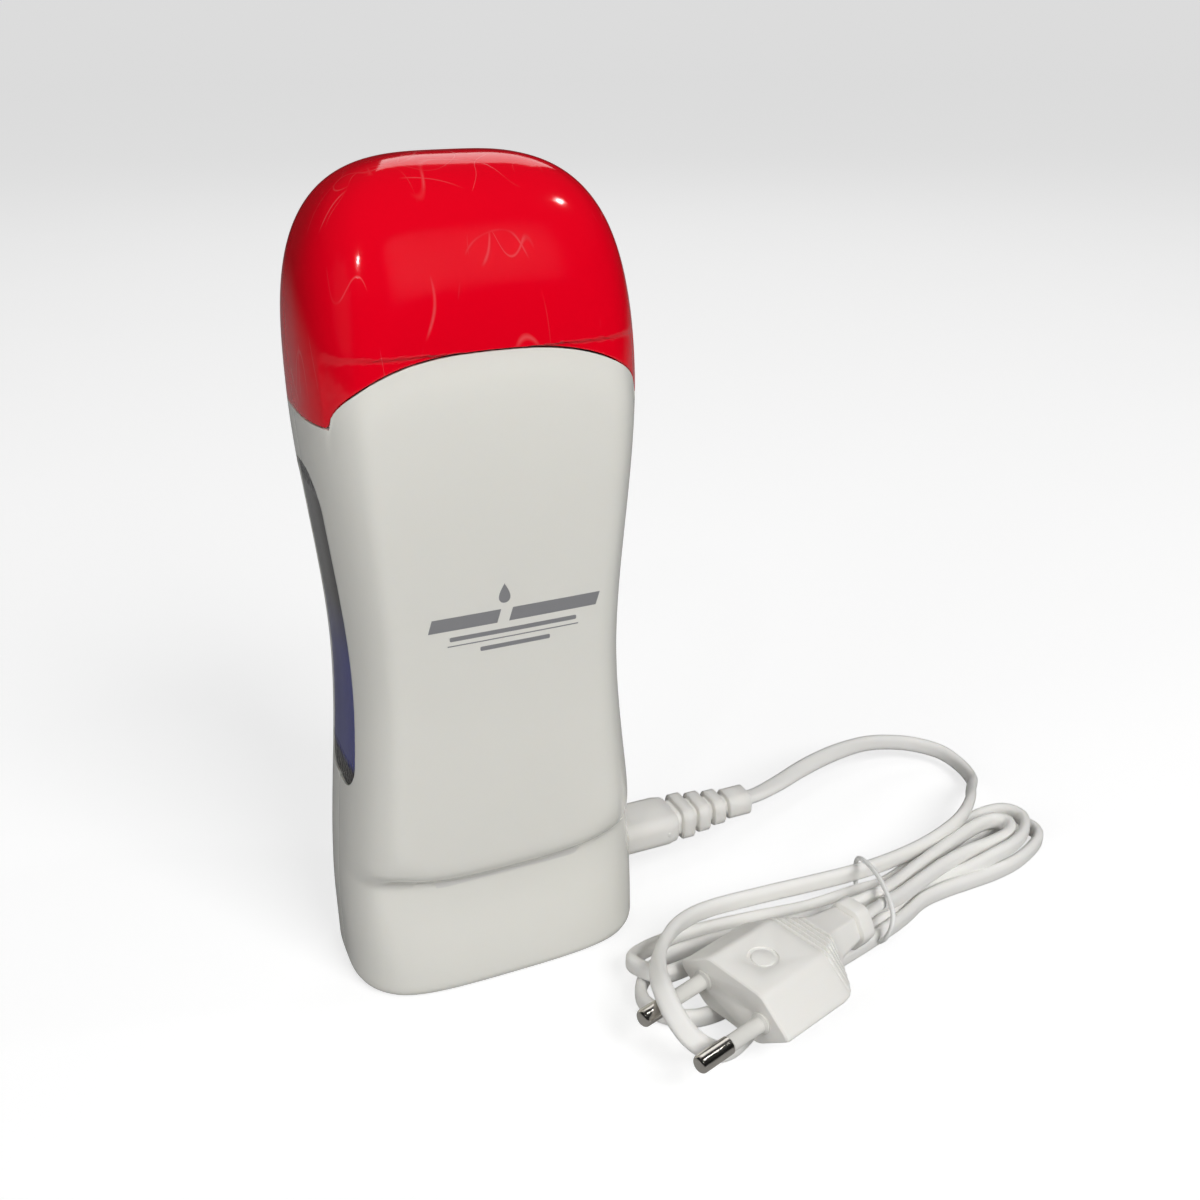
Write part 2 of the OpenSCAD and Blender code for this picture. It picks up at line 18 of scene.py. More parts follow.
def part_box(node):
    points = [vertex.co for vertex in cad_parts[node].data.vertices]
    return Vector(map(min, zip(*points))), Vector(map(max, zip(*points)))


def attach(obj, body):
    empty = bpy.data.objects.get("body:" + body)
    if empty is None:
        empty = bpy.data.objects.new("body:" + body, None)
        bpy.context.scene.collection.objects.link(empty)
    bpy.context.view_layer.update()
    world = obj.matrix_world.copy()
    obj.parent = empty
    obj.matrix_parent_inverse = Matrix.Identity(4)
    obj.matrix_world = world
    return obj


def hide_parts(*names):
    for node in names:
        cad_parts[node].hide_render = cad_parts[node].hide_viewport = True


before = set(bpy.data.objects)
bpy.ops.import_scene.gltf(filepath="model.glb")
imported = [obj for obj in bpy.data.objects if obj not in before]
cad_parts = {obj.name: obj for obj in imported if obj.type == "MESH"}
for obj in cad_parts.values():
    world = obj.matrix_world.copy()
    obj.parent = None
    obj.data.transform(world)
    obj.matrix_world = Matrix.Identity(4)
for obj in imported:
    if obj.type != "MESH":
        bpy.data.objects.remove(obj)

Piece = bpy.types.Object
Tree = bpy.types.NodeTree
Socket = bpy.types.NodeSocket
Outline = list[tuple[float, float]]

MM = 0.001
LOG = logging.getLogger("heater")
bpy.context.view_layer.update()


# ---------------------------------------------------------------- small helpers


def deselect_all() -> None:
    """Leave edit mode, and select nothing."""
    if bpy.context.object and bpy.context.object.mode != "OBJECT":
        bpy.ops.object.mode_set(mode="OBJECT")
    bpy.ops.object.select_all(action="DESELECT")


def activate(piece: Piece) -> None:
    """Make one piece the only selected and the active one."""
    deselect_all()
    piece.select_set(True)
    bpy.context.view_layer.objects.active = piece


def apply_modifiers(piece: Piece) -> None:
    """Apply every modifier of a piece, in order."""
    activate(piece)
    for modifier in list(piece.modifiers):
        bpy.ops.object.modifier_apply(modifier=modifier.name)


def settle(piece: Piece) -> None:
    """Put a piece's place into its mesh, so that its object sits at the origin."""
    activate(piece)
    bpy.ops.object.transform_apply(location=True, rotation=True, scale=True)


def smooth(piece: Piece, degrees: float = 35.0) -> None:
    """Shade a piece smooth, with hard edges above an angle."""
    activate(piece)
    bpy.ops.object.shade_smooth_by_angle(angle=math.radians(degrees))


def add_bevel(piece: Piece, width: float, segments: int, degrees: float) -> None:
    """Give a piece a modifier that rounds its edges above an angle."""
    bevel = piece.modifiers.new("round", "BEVEL")
    bevel.width = width
    bevel.segments = segments
    bevel.limit_method = "ANGLE"
    bevel.angle_limit = math.radians(degrees)
    bevel.harden_normals = False


def add_wall(piece: Piece, thickness: float) -> None:
    """Give a skin a wall on its inner side."""
    wall = piece.modifiers.new("wall", "SOLIDIFY")
    wall.thickness = thickness
    wall.offset = -1.0
    wall.use_rim = True


def edit_points(piece: Piece, move: Callable) -> None:
    """Send every point of a piece through a function of its place."""
    for vertex in piece.data.vertices:
        vertex.co = move(vertex.co)
    piece.data.update()


def edit_all(piece: Piece, operator: Callable, **settings: float | tuple) -> None:
    """Run one edit operator on the whole of a piece."""
    activate(piece)
    bpy.ops.object.mode_set(mode="EDIT")
    bpy.ops.mesh.select_all(action="SELECT")
    operator(**settings)
    bpy.ops.object.mode_set(mode="OBJECT")


def merge_points(piece: Piece, distance: float = 1e-6) -> None:
    """Join the points of a piece that lie on each other."""
    edit_all(piece, bpy.ops.mesh.remove_doubles, threshold=distance)


def face_outwards(piece: Piece) -> None:
    """Turn the faces of a closed piece outwards."""
    edit_all(piece, bpy.ops.mesh.normals_make_consistent, inside=False)


def round_off(piece: Piece, width: float, segments: int, degrees: float, shade: float) -> None:
    """Round the sharp edges of a piece, apply its modifiers and shade it smooth.

    Args:
        piece: The piece to finish.
        width: Width of the rounding, in metres.
        segments: Number of faces across the rounding.
        degrees: Only edges that turn by more than this are rounded.
        shade: Edges that still turn by more than this stay hard, in degrees.
    """
    add_bevel(piece, width, segments, degrees)
    apply_modifiers(piece)
    smooth(piece, shade)


def skin(name: str, columns: int, rows: int, place: Callable, flip: bool = False) -> Piece:
    """Bend a grid into a skin.

    Args:
        name: Name of the piece.
        columns: Number of faces across.
        rows: Number of faces up.
        place: Gives the place of the point in a column and a row.
        flip: Whether the faces have to be turned round.

    Returns:
        The skin, with coinciding points joined.
    """
    deselect_all()
    bpy.ops.mesh.primitive_grid_add(x_subdivisions=columns, y_subdivisions=rows, size=1.0)
    piece = bpy.context.object
    piece.name = piece.data.name = name
    for index, vertex in enumerate(piece.data.vertices):
        row, column = divmod(index, columns + 1)
        vertex.co = place(column, row)
    merge_points(piece)
    if flip:
        edit_all(piece, bpy.ops.mesh.flip_normals)
    return piece


def ease(t: float) -> float:
    """Smooth step from 0 to 1."""
    t = min(1.0, max(0.0, t))
    return t * t * (3 - 2 * t)


def lerp(a: float, b: float, t: float) -> float:
    """Value at share t of the way from a to b."""
    return a + (b - a) * t


def soft_min(a: float, b: float, reach: float) -> float:
    """Smaller of two values, with a rounded change from one to the other."""
    reach = max(reach, 1e-9)
    share = min(1.0, max(0.0, 0.5 + 0.5 * (b - a) / reach))
    return lerp(b, a, share) - reach * share * (1 - share)


def signed_power(value: float, exponent: float) -> float:
    """Power of a value's size, with the value's own sign."""
    return math.copysign(abs(value) ** exponent, value)


def ranged(tree: Tree, value: Socket, low: float, high: float, to_low: float, to_high: float) -> Socket:
    """Map one range of a socket's values on another, in a node tree."""
    node = tree.nodes.new("ShaderNodeMapRange")
    for name, number in zip(("From Min", "From Max", "To Min", "To Max"), (low, high, to_low, to_high)):
        node.inputs[name].default_value = number
    tree.links.new(value, node.inputs["Value"])
    return node.outputs["Result"]


# ---------------------------------------------------------------- finishes


class Slot(Enum):
    """Material slots of the record."""

    SHELL = "shell_white"
    CAP = "cap_red"
    WINDOW = "window_clear"
    INNER = "inner_white"
    PLATE = "plate_aluminium"
    ELEMENT = "element_black"
    CLIP = "clip_steel"
    SHEET = "sheet_amber"
    FUSE = "fuse_tan"
    LIVE = "wire_brown"
    NEUTRAL = "wire_blue"
    INLET = "inlet_white"
    CONTACT = "contact_brass"
    SCREW = "screw_steel"
    LEAD = "lead_white"
    CORD = "cord_white"
    TIE = "tie_white"
    PIN = "pin_nickel"
    SLEEVE = "sleeve_white"


@dataclass(frozen=True)
class Finish:
    """Surface of moulded plastic, metal or film, made from nodes.

    Colours vary softly over the surface, and the roughness and the bump carry fine marks.
    """

    name: str
    colour: tuple[float, float, float]
    roughness: float = 0.3
    metallic: float = 0.0
    coat: float = 0.0
    shine: float = 0.5
    subsurface: float = 0.0
    tone: float = 0.05
    tone_scale: float = 40.0
    grain: float = 0.05
    grain_scale: float = 900.0
    grain_depth: float = 0.00002
    scratches: float = 0.0

    def build(self) -> bpy.types.Material:
        """Make the material, once."""
        found = bpy.data.materials.get(self.name)
        if found:
            return found
        material = bpy.data.materials.new(self.name)
        material.use_nodes = True
        self.wire(material.node_tree)
        return material

    def wire(self, tree: Tree) -> None:
        """Lay out the nodes of the finish."""
        shader = tree.nodes["Principled BSDF"]
        shader.inputs["Metallic"].default_value = self.metallic
        shader.inputs["Coat Weight"].default_value = self.coat
        shader.inputs["Specular IOR Level"].default_value = self.shine
        shader.inputs["Coat Roughness"].default_value = 0.06
        shader.inputs["Subsurface Weight"].default_value = self.subsurface
        shader.inputs["Subsurface Radius"].default_value = (0.004, 0.003, 0.002)
        shader.inputs["Subsurface Scale"].default_value = 0.5
        place = tree.nodes.new("ShaderNodeTexCoord").outputs["Object"]
        tree.links.new(self.tinted(tree, place), shader.inputs["Base Color"])
        rough, bump = self.worn(tree, place)
        tree.links.new(rough, shader.inputs["Roughness"])
        tree.links.new(bump, shader.inputs["Normal"])

    def noise(self, tree: Tree, place: Socket, scale: float, detail: float = 3.0) -> Socket:
        """Add a noise pattern and return its value."""
        node = tree.nodes.new("ShaderNodeTexNoise")
        node.inputs["Scale"].default_value = scale
        node.inputs["Detail"].default_value = detail
        tree.links.new(place, node.inputs["Vector"])
        return node.outputs["Fac"]

    def sums(self, tree: Tree, operation: str, *values: Socket | float) -> Socket:
        """Work on values, each of them a socket or a plain number.

        Args:
            tree: Node tree of the material.
            operation: What to do with the values.
            values: The values, in the order that the operation takes them.

        Returns:
            The result.
        """
        node = tree.nodes.new("ShaderNodeMath")
        node.operation = operation
        for slot, value in zip(node.inputs, values):
            if isinstance(value, Socket):
                tree.links.new(value, slot)
            else:
                slot.default_value = value
        return node.outputs["Value"]

    def blend(self, tree: Tree, first: Socket | tuple, second: tuple, share: Socket) -> Socket:
        """Mix two colours.

        Args:
            tree: Node tree of the material.
            first: Colour at share 0, a socket or a plain colour.
            second: Colour at share 1.
            share: How much of the second colour there is.

        Returns:
            The mixed colour.
        """
        mix = tree.nodes.new("ShaderNodeMix")
        mix.data_type = "RGBA"
        if isinstance(first, Socket):
            tree.links.new(first, mix.inputs["A"])
        else:
            mix.inputs["A"].default_value = (*first, 1)
        mix.inputs["B"].default_value = (*second, 1)
        tree.links.new(share, mix.inputs["Factor"])
        return mix.outputs["Result"]

    def tinted(self, tree: Tree, place: Socket) -> Socket:
        """Return the base colour, with its soft change of tone."""
        dark = tuple(c * (1 - self.tone) for c in self.colour)
        light = tuple(min(1, c * (1 + self.tone)) for c in self.colour)
        colour = self.blend(tree, dark, light, self.noise(tree, place, self.tone_scale))
        if self.scratches < 0.3:
            return colour
        faint = ranged(tree, self.hairlines(tree, place), 0.0, 1.0, 0.0, 0.35 * self.scratches)
        return self.blend(tree, colour, (0.9, 0.62, 0.62), faint)

    def worn(self, tree: Tree, place: Socket) -> tuple[Socket, Socket]:
        """Return the roughness and the normal, with grain and hairline scratches."""
        fine = self.noise(tree, place, self.grain_scale, 2.0)
        rough = ranged(tree, self.noise(tree, place, self.tone_scale * 2.3), 0.3, 0.7,
                       self.roughness * (1 - self.grain * 3), self.roughness * (1 + self.grain * 3))
        height = fine
        if self.scratches:
            lines = self.hairlines(tree, place)
            height = self.sums(tree, "MULTIPLY_ADD", lines, -6 * self.scratches, fine)
            rough = self.sums(tree, "MULTIPLY_ADD", lines, 0.25 * self.scratches, rough)
        return rough, self.raised(tree, height, self.grain_depth)

    def raised(self, tree: Tree, height: Socket, depth: float) -> Socket:
        """Return the normal of a surface with a height pattern on it."""
        bump = tree.nodes.new("ShaderNodeBump")
        bump.inputs["Strength"].default_value = 1.0
        bump.inputs["Distance"].default_value = depth
        tree.links.new(height, bump.inputs["Height"])
        return bump.outputs["Normal"]

    def hairlines(self, tree: Tree, place: Socket) -> Socket:
        """Return thin, broken, curved lines, 1 on a line and 0 elsewhere."""
        total = None
        for turn, scale in ((0.3, 70.0), (1.2, 105.0), (2.2, 55.0)):
            mapping = tree.nodes.new("ShaderNodeMapping")
            mapping.inputs["Rotation"].default_value = (0.2, turn, turn * 1.7)
            mapping.inputs["Scale"].default_value = (1.0, 1.0, 0.22)
            tree.links.new(place, mapping.inputs["Vector"])
            level = self.noise(tree, mapping.outputs["Vector"], scale, 0.0)
            line = ranged(tree, self.distance(tree, level, 0.52), 0.0, 0.006, 1.0, 0.0)
            total = line if total is None else self.sums(tree, "MAXIMUM", total, line)
        broken = ranged(tree, self.noise(tree, place, 85.0, 1.0), 0.52, 0.62, 0.0, 1.0)
        return self.sums(tree, "MULTIPLY", total, broken)

    def distance(self, tree: Tree, value: Socket, middle: float) -> Socket:
        """Return how far a value is from a middle one."""
        return self.sums(tree, "ABSOLUTE", self.sums(tree, "SUBTRACT", value, middle))


@dataclass(frozen=True)
class ClearFinish(Finish):
    """Clear moulded plastic, smoky above and blue below, with a ribbed grip at both ends."""

    low_z: float = 0.05
    high_z: float = 0.13
    low_colour: tuple[float, float, float] = (0.03, 0.035, 0.24)
    grip_colour: tuple[float, float, float] = (0.05, 0.045, 0.045)

    def wire(self, tree: Tree) -> None:
        """Lay out the nodes of the finish."""
        shader = tree.nodes["Principled BSDF"]
        shader.inputs["Transmission Weight"].default_value = 0.1
        shader.inputs["IOR"].default_value = 1.46
        shader.inputs["Coat Weight"].default_value = 0.1
        place = tree.nodes.new("ShaderNodeTexCoord").outputs["Object"]
        split = tree.nodes.new("ShaderNodeSeparateXYZ")
        tree.links.new(place, split.inputs["Vector"])
        height = split.outputs["Z"]
        middle = lerp(self.low_z, self.high_z, 0.5)
        above = ranged(tree, height, middle - 0.006, middle + 0.008, 0.0, 1.0)
        end = (self.high_z - self.low_z) / 2
        ends = ranged(tree, self.distance(tree, height, middle), end - 0.009, end - 0.007, 0.0, 1.0)
        colour = self.blend(tree, self.low_colour, self.colour, above)
        tree.links.new(self.blend(tree, colour, self.grip_colour, ends), shader.inputs["Base Color"])
        cells = tree.nodes.new("ShaderNodeTexVoronoi")
        cells.inputs["Scale"].default_value = 700.0
        tree.links.new(place, cells.inputs["Vector"])
        ribs = self.sums(tree, "MULTIPLY", cells.outputs["Distance"], ends)
        tree.links.new(self.raised(tree, ribs, 0.0008), shader.inputs["Normal"])
        rough = ranged(tree, self.noise(tree, place, 60.0), 0.3, 0.7,
                       self.roughness * 0.7, self.roughness * 1.4)
        tree.links.new(rough, shader.inputs["Roughness"])


FINISHES = {
    Slot.SHELL: Finish("shell_gloss", (0.80, 0.79, 0.735), roughness=0.22, coat=0.35, subsurface=0.05,
                       tone=0.012, grain_scale=500, grain_depth=0.000006, scratches=0.06),
    Slot.CAP: Finish("cap_gloss", (0.80, 0.0, 0.012), roughness=0.1, coat=0.15, shine=0.4, tone=0.03,
                     tone_scale=25, grain_scale=400, grain_depth=0.000006, scratches=0.3),
    Slot.WINDOW: ClearFinish("window_clear_plastic", (0.05, 0.045, 0.04), roughness=0.12),
    Slot.INNER: Finish("inner_plastic", (0.70, 0.69, 0.66), roughness=0.45, tone=0.02, grain_depth=0.00001),
    Slot.PLATE: Finish("plate_sheet", (0.80, 0.81, 0.82), roughness=0.35, metallic=1.0, tone=0.06),
    Slot.ELEMENT: Finish("element_film", (0.03, 0.03, 0.033), roughness=0.5, tone=0.2),
    Slot.CLIP: Finish("clip_spring_steel", (0.55, 0.56, 0.58), roughness=0.3, metallic=1.0),
    Slot.SHEET: Finish("sheet_film", (0.62, 0.36, 0.10), roughness=0.3, tone=0.1),
    Slot.FUSE: Finish("fuse_ceramic", (0.70, 0.60, 0.42), roughness=0.4),
    Slot.LIVE: Finish("wire_live", (0.16, 0.06, 0.03), roughness=0.35),
    Slot.NEUTRAL: Finish("wire_neutral", (0.03, 0.10, 0.42), roughness=0.35),
    Slot.INLET: Finish("inlet_plastic", (0.76, 0.75, 0.71), roughness=0.4, tone=0.02, grain_depth=0.00001),
    Slot.CONTACT: Finish("contact_metal", (0.80, 0.58, 0.25), roughness=0.28, metallic=1.0),
    Slot.SCREW: Finish("screw_zinc", (0.42, 0.43, 0.45), roughness=0.34, metallic=1.0, tone=0.1),
    Slot.LEAD: Finish("lead_moulding", (0.88, 0.865, 0.825), roughness=0.33, subsurface=0.06, tone=0.015,
                      grain_scale=1500, grain_depth=0.00001),
    Slot.CORD: Finish("cord_pvc", (0.89, 0.88, 0.85), roughness=0.34, subsurface=0.05, tone=0.015,
                      grain_scale=1200, grain_depth=0.000012),
    Slot.TIE: Finish("tie_coating", (0.92, 0.92, 0.90), roughness=0.38, tone=0.02),
    Slot.PIN: Finish("pin_plating", (0.62, 0.59, 0.54), roughness=0.2, metallic=1.0, tone=0.08,
                     grain_scale=1500, scratches=0.4),
    Slot.SLEEVE: Finish("sleeve_moulding", (0.74, 0.73, 0.69), roughness=0.35, tone=0.02),
}


def dress(piece: Piece, slot: Slot) -> None:
    """Give a piece the finish of a material slot."""
    piece.data.materials.clear()
    piece.data.materials.append(FINISHES[slot].build())


def fit_out(piece: Piece, body: str, slot: Slot, *nodes: str) -> Piece:
    """Dress a finished piece, let it ride on its body and stand for its nodes.

    Args:
        piece: The finished piece.
        body: Body that it moves with.
        slot: Material slot of its finish.
        nodes: Nodes that it stands for.

    Returns:
        The same piece.
    """
    dress(piece, slot)
    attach(piece, body)
    if nodes:
        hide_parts(*nodes)
    return piece


# ---------------------------------------------------------------- form of the heater


@dataclass
class HeaterForm:
    """Outer surface that the shells, the cap and the window share.

    A point is named by a height and by its share of the way round the front or the rear half,
    from the left edge (0) to the right edge (1).
    """

    top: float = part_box("cap")[1].z
    base_half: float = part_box("rear_shell")[1].x
    waist_half: float = 31.0 * MM
    head_half: float = 34.5 * MM
    head_depth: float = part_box("rear_shell")[1].y
    grip_front: float = 22.8 * MM
    grip_rear: float = 25.4 * MM
    base_z: float = 14.0 * MM
    waist_z: float = 82.0 * MM
    head_z: float = 140.0 * MM
    grip_z: float = 66.0 * MM
    cap_z: float = 138.0 * MM
    crease_z: float = 29.6 * MM
    crease_rise: float = 4.4 * MM
    roll_h: float = 6.2 * MM
    roll_d: float = 3.2 * MM
    foot_r: float = 2.6 * MM
    arch_half: float = 31.5 * MM
    arch_rise: float = 13.3 * MM
    corner: float = 3.0
    dome_wide: float = 3.2
    dome_deep: float = 2.26
    part_gap: float = 0.05 * MM
    turns: list[float] = field(default_factory=list)

    def __post_init__(self) -> None:
        """Work out even steps round a half, so that points are evenly spaced."""
        fine = 2000
        angles = [math.pi * i / fine for i in range(fine + 1)]
        points = [self.flat_point(a, self.waist_half, self.grip_front, True) for a in angles]
        lengths = [0.0]
        for before, after in zip(points, points[1:]):
            lengths.append(lengths[-1] + math.dist(before, after))
        step, self.turns = 0, []
        for k in range(401):
            goal = lengths[-1] * k / 400
            while step < fine - 1 and lengths[step + 1] < goal:
                step += 1
            share = (goal - lengths[step]) / max(1e-12, lengths[step + 1] - lengths[step])
            self.turns.append(angles[step] + share * math.pi / fine)

    def turn(self, share: float) -> float:
        """Angle at a share of the way round a half."""
        at = min(399.999, max(0.0, share * 400))
        low = int(at)
        return lerp(self.turns[low], self.turns[low + 1], at - low)

    def flat_point(self, angle: float, wide: float, deep: float, front: bool,
                   panel: float = 1.0) -> tuple[float, float]:
        """Point of a cross-section.

        Args:
            angle: From 0 at the left edge to pi at the right edge.
            wide: Half the width.
            deep: Depth in front of or behind the part line.
            front: Whether the point is on the front half, which has a flatter face.
            panel: How flat the front face is, from 0 to 1.

        Returns:
            The point's x and y.
        """
        x = -wide * signed_power(math.cos(angle), 2 / self.corner)
        out = abs(math.sin(angle)) ** (2 / self.corner)
        if not front:
            return x, deep * out
        full = deep * lerp(1.03, 1.19, panel) * out
        bow = deep * (1 - 0.018 * (x / max(wide, 1e-6)) ** 2)
        return x, -max(0.0, soft_min(full, bow, lerp(4.5, 1.5, panel) * MM * min(1.0, deep / (15 * MM))))

    def half_width(self, z: float) -> float:
        """Half the width at a height, without the dome."""
        if z < self.waist_z:
            return lerp(self.waist_half, self.base_half,
                        ease((self.waist_z - z) / (self.waist_z - self.base_z)))
        return lerp(self.waist_half, self.head_half, ease((z - self.waist_z) / (self.head_z - self.waist_z)))

    def crease(self, x: float) -> float:
        """Height of the crease under the front panel."""
        return self.crease_z + self.crease_rise * (abs(x) / (30 * MM)) ** 3

    def front_depth(self, z: float, x: float) -> float:
        """Depth in front of the part line, with the base block, the crease and the rolled edge."""
        full = lerp(self.grip_front, self.head_depth, ease((z - self.grip_z) / (self.head_z - self.grip_z)))
        crease = self.crease(x)
        fade = self.roll_d * (1 - 0.75 * ease((-x - 25 * MM) / (7 * MM)))
        if z < crease:
            return full + 0.4 * MM - (fade + 0.4 * MM) * ease(z / crease) ** 1.2
        rise = self.roll_h * (1 + 0.9 * ease((abs(x) - 18 * MM) / (12 * MM)))
        s = 1 - min(1.0, (z - crease) / rise)
        return full - fade * (1 - math.sqrt(1 - s * s))

    def rear_depth(self, z: float) -> float:
        """Depth behind the part line."""
        return lerp(self.grip_rear, self.head_depth, ease((z - self.grip_z) / (self.head_z - self.grip_z)))

    def dome(self, z: float, power: float) -> float:
        """Share of the width or depth that is left at a height in the cap."""
        t = min(1.0, max(0.0, (z - self.cap_z) / (self.top - self.cap_z)))
        return (1 - t ** power) ** (1 / power)

    def foot(self, z: float) -> float:
        """How far the rounded bottom edge draws the outline in."""
        if z >= self.foot_r:
            return 0.0
        return self.foot_r - math.sqrt(max(0.0, self.foot_r ** 2 - (self.foot_r - z) ** 2))

    def arch(self, x: float) -> float:
        """Height of the arched parting line between the shells and the cap."""
        if abs(x) >= self.arch_half:
            return self.cap_z
        return self.cap_z + self.arch_rise * math.sqrt(1 - (abs(x) / self.arch_half) ** 2.4)

    def panel_edge(self, z: float, x: float) -> float:
        """How far the front stands back where the panel ends below the arch."""
        near = (z - (self.arch(x) - 6.5 * MM)) / (6.5 * MM)
        return 0.55 * MM * ease(near * 1.3) if near > 0 and abs(x) < self.arch_half else 0.0

    def point(self, share: float, z: float, front: bool, inset: float = 0.0) -> Vector:
        """Point on the surface.

        Args:
            share: Share of the way round the half, from the left edge to the right edge.
            z: Height.
            front: Whether the point is on the front half.
            inset: How far below the surface the point lies.

        Returns:
            The point.
        """
        angle = self.turn(share)
        wide = (self.half_width(z) - inset) * self.dome(z, self.dome_wide) - self.foot(z)
        x = -wide * signed_power(math.cos(angle), 2 / self.corner)
        deep = self.front_depth(z, x) if front else self.rear_depth(z)
        if front and z < self.cap_z + self.arch_rise:
            deep -= self.panel_edge(z, x)
        deep = (deep - inset) * self.dome(z, self.dome_deep) - self.foot(z)
        panel = ease((z - self.crease_z) / (6 * MM)) * (1 - 0.6 * ease((z - self.cap_z) / (30 * MM)))
        x, y = self.flat_point(angle, max(0.0, wide), max(0.0, deep), front, panel)
        return Vector((x, y, z))

    def share_at(self, y: float, z: float, front: bool, left: bool) -> float:
        """Share of the way round at which the surface is at a distance from the part line."""
        low, high = 0.0, 0.5
        for _ in range(18):
            middle = (low + high) / 2
            there = self.point(middle if left else 1 - middle, z, front)
            if abs(there.y) < y:
                low = middle
            else:
                high = middle
        return low if left else 1 - low


FORM = HeaterForm()


@dataclass
class Opening:
    """Rounded opening in a narrow side, on the part line."""

    low_z: float
    high_z: float
    half: float
    low_r: float
    high_r: float

    def outline(self, gap: float, steps: int = 8) -> Outline:
        """Half the outline, from its lower to its upper end, as distances from the part line and heights."""
        half = self.half + gap
        low_z, high_z = self.low_z - gap, self.high_z + gap
        low_r, high_r = self.low_r + gap, self.high_r + gap
        points = []
        for k in range(steps + 1):
            a = math.pi / 2 * k / steps
            points.append((half - low_r + low_r * math.sin(a), low_z + low_r * (1 - math.cos(a))))
        for k in range(steps + 1):
            a = math.pi / 2 * k / steps
            points.append((half - high_r + high_r * math.cos(a), high_z - high_r * (1 - math.sin(a))))
        return points


WINDOW_LOW, WINDOW_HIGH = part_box("side_window")
WINDOW = Opening(WINDOW_LOW.z, WINDOW_HIGH.z, (WINDOW_HIGH.y - WINDOW_LOW.y) / 2, 7.0 * MM, 8.5 * MM)
INLET_Z = 16.8 * MM
INLET = Opening(INLET_Z - 6.2 * MM, INLET_Z + 6.2 * MM, 9.2 * MM, 4.0 * MM, 4.0 * MM)


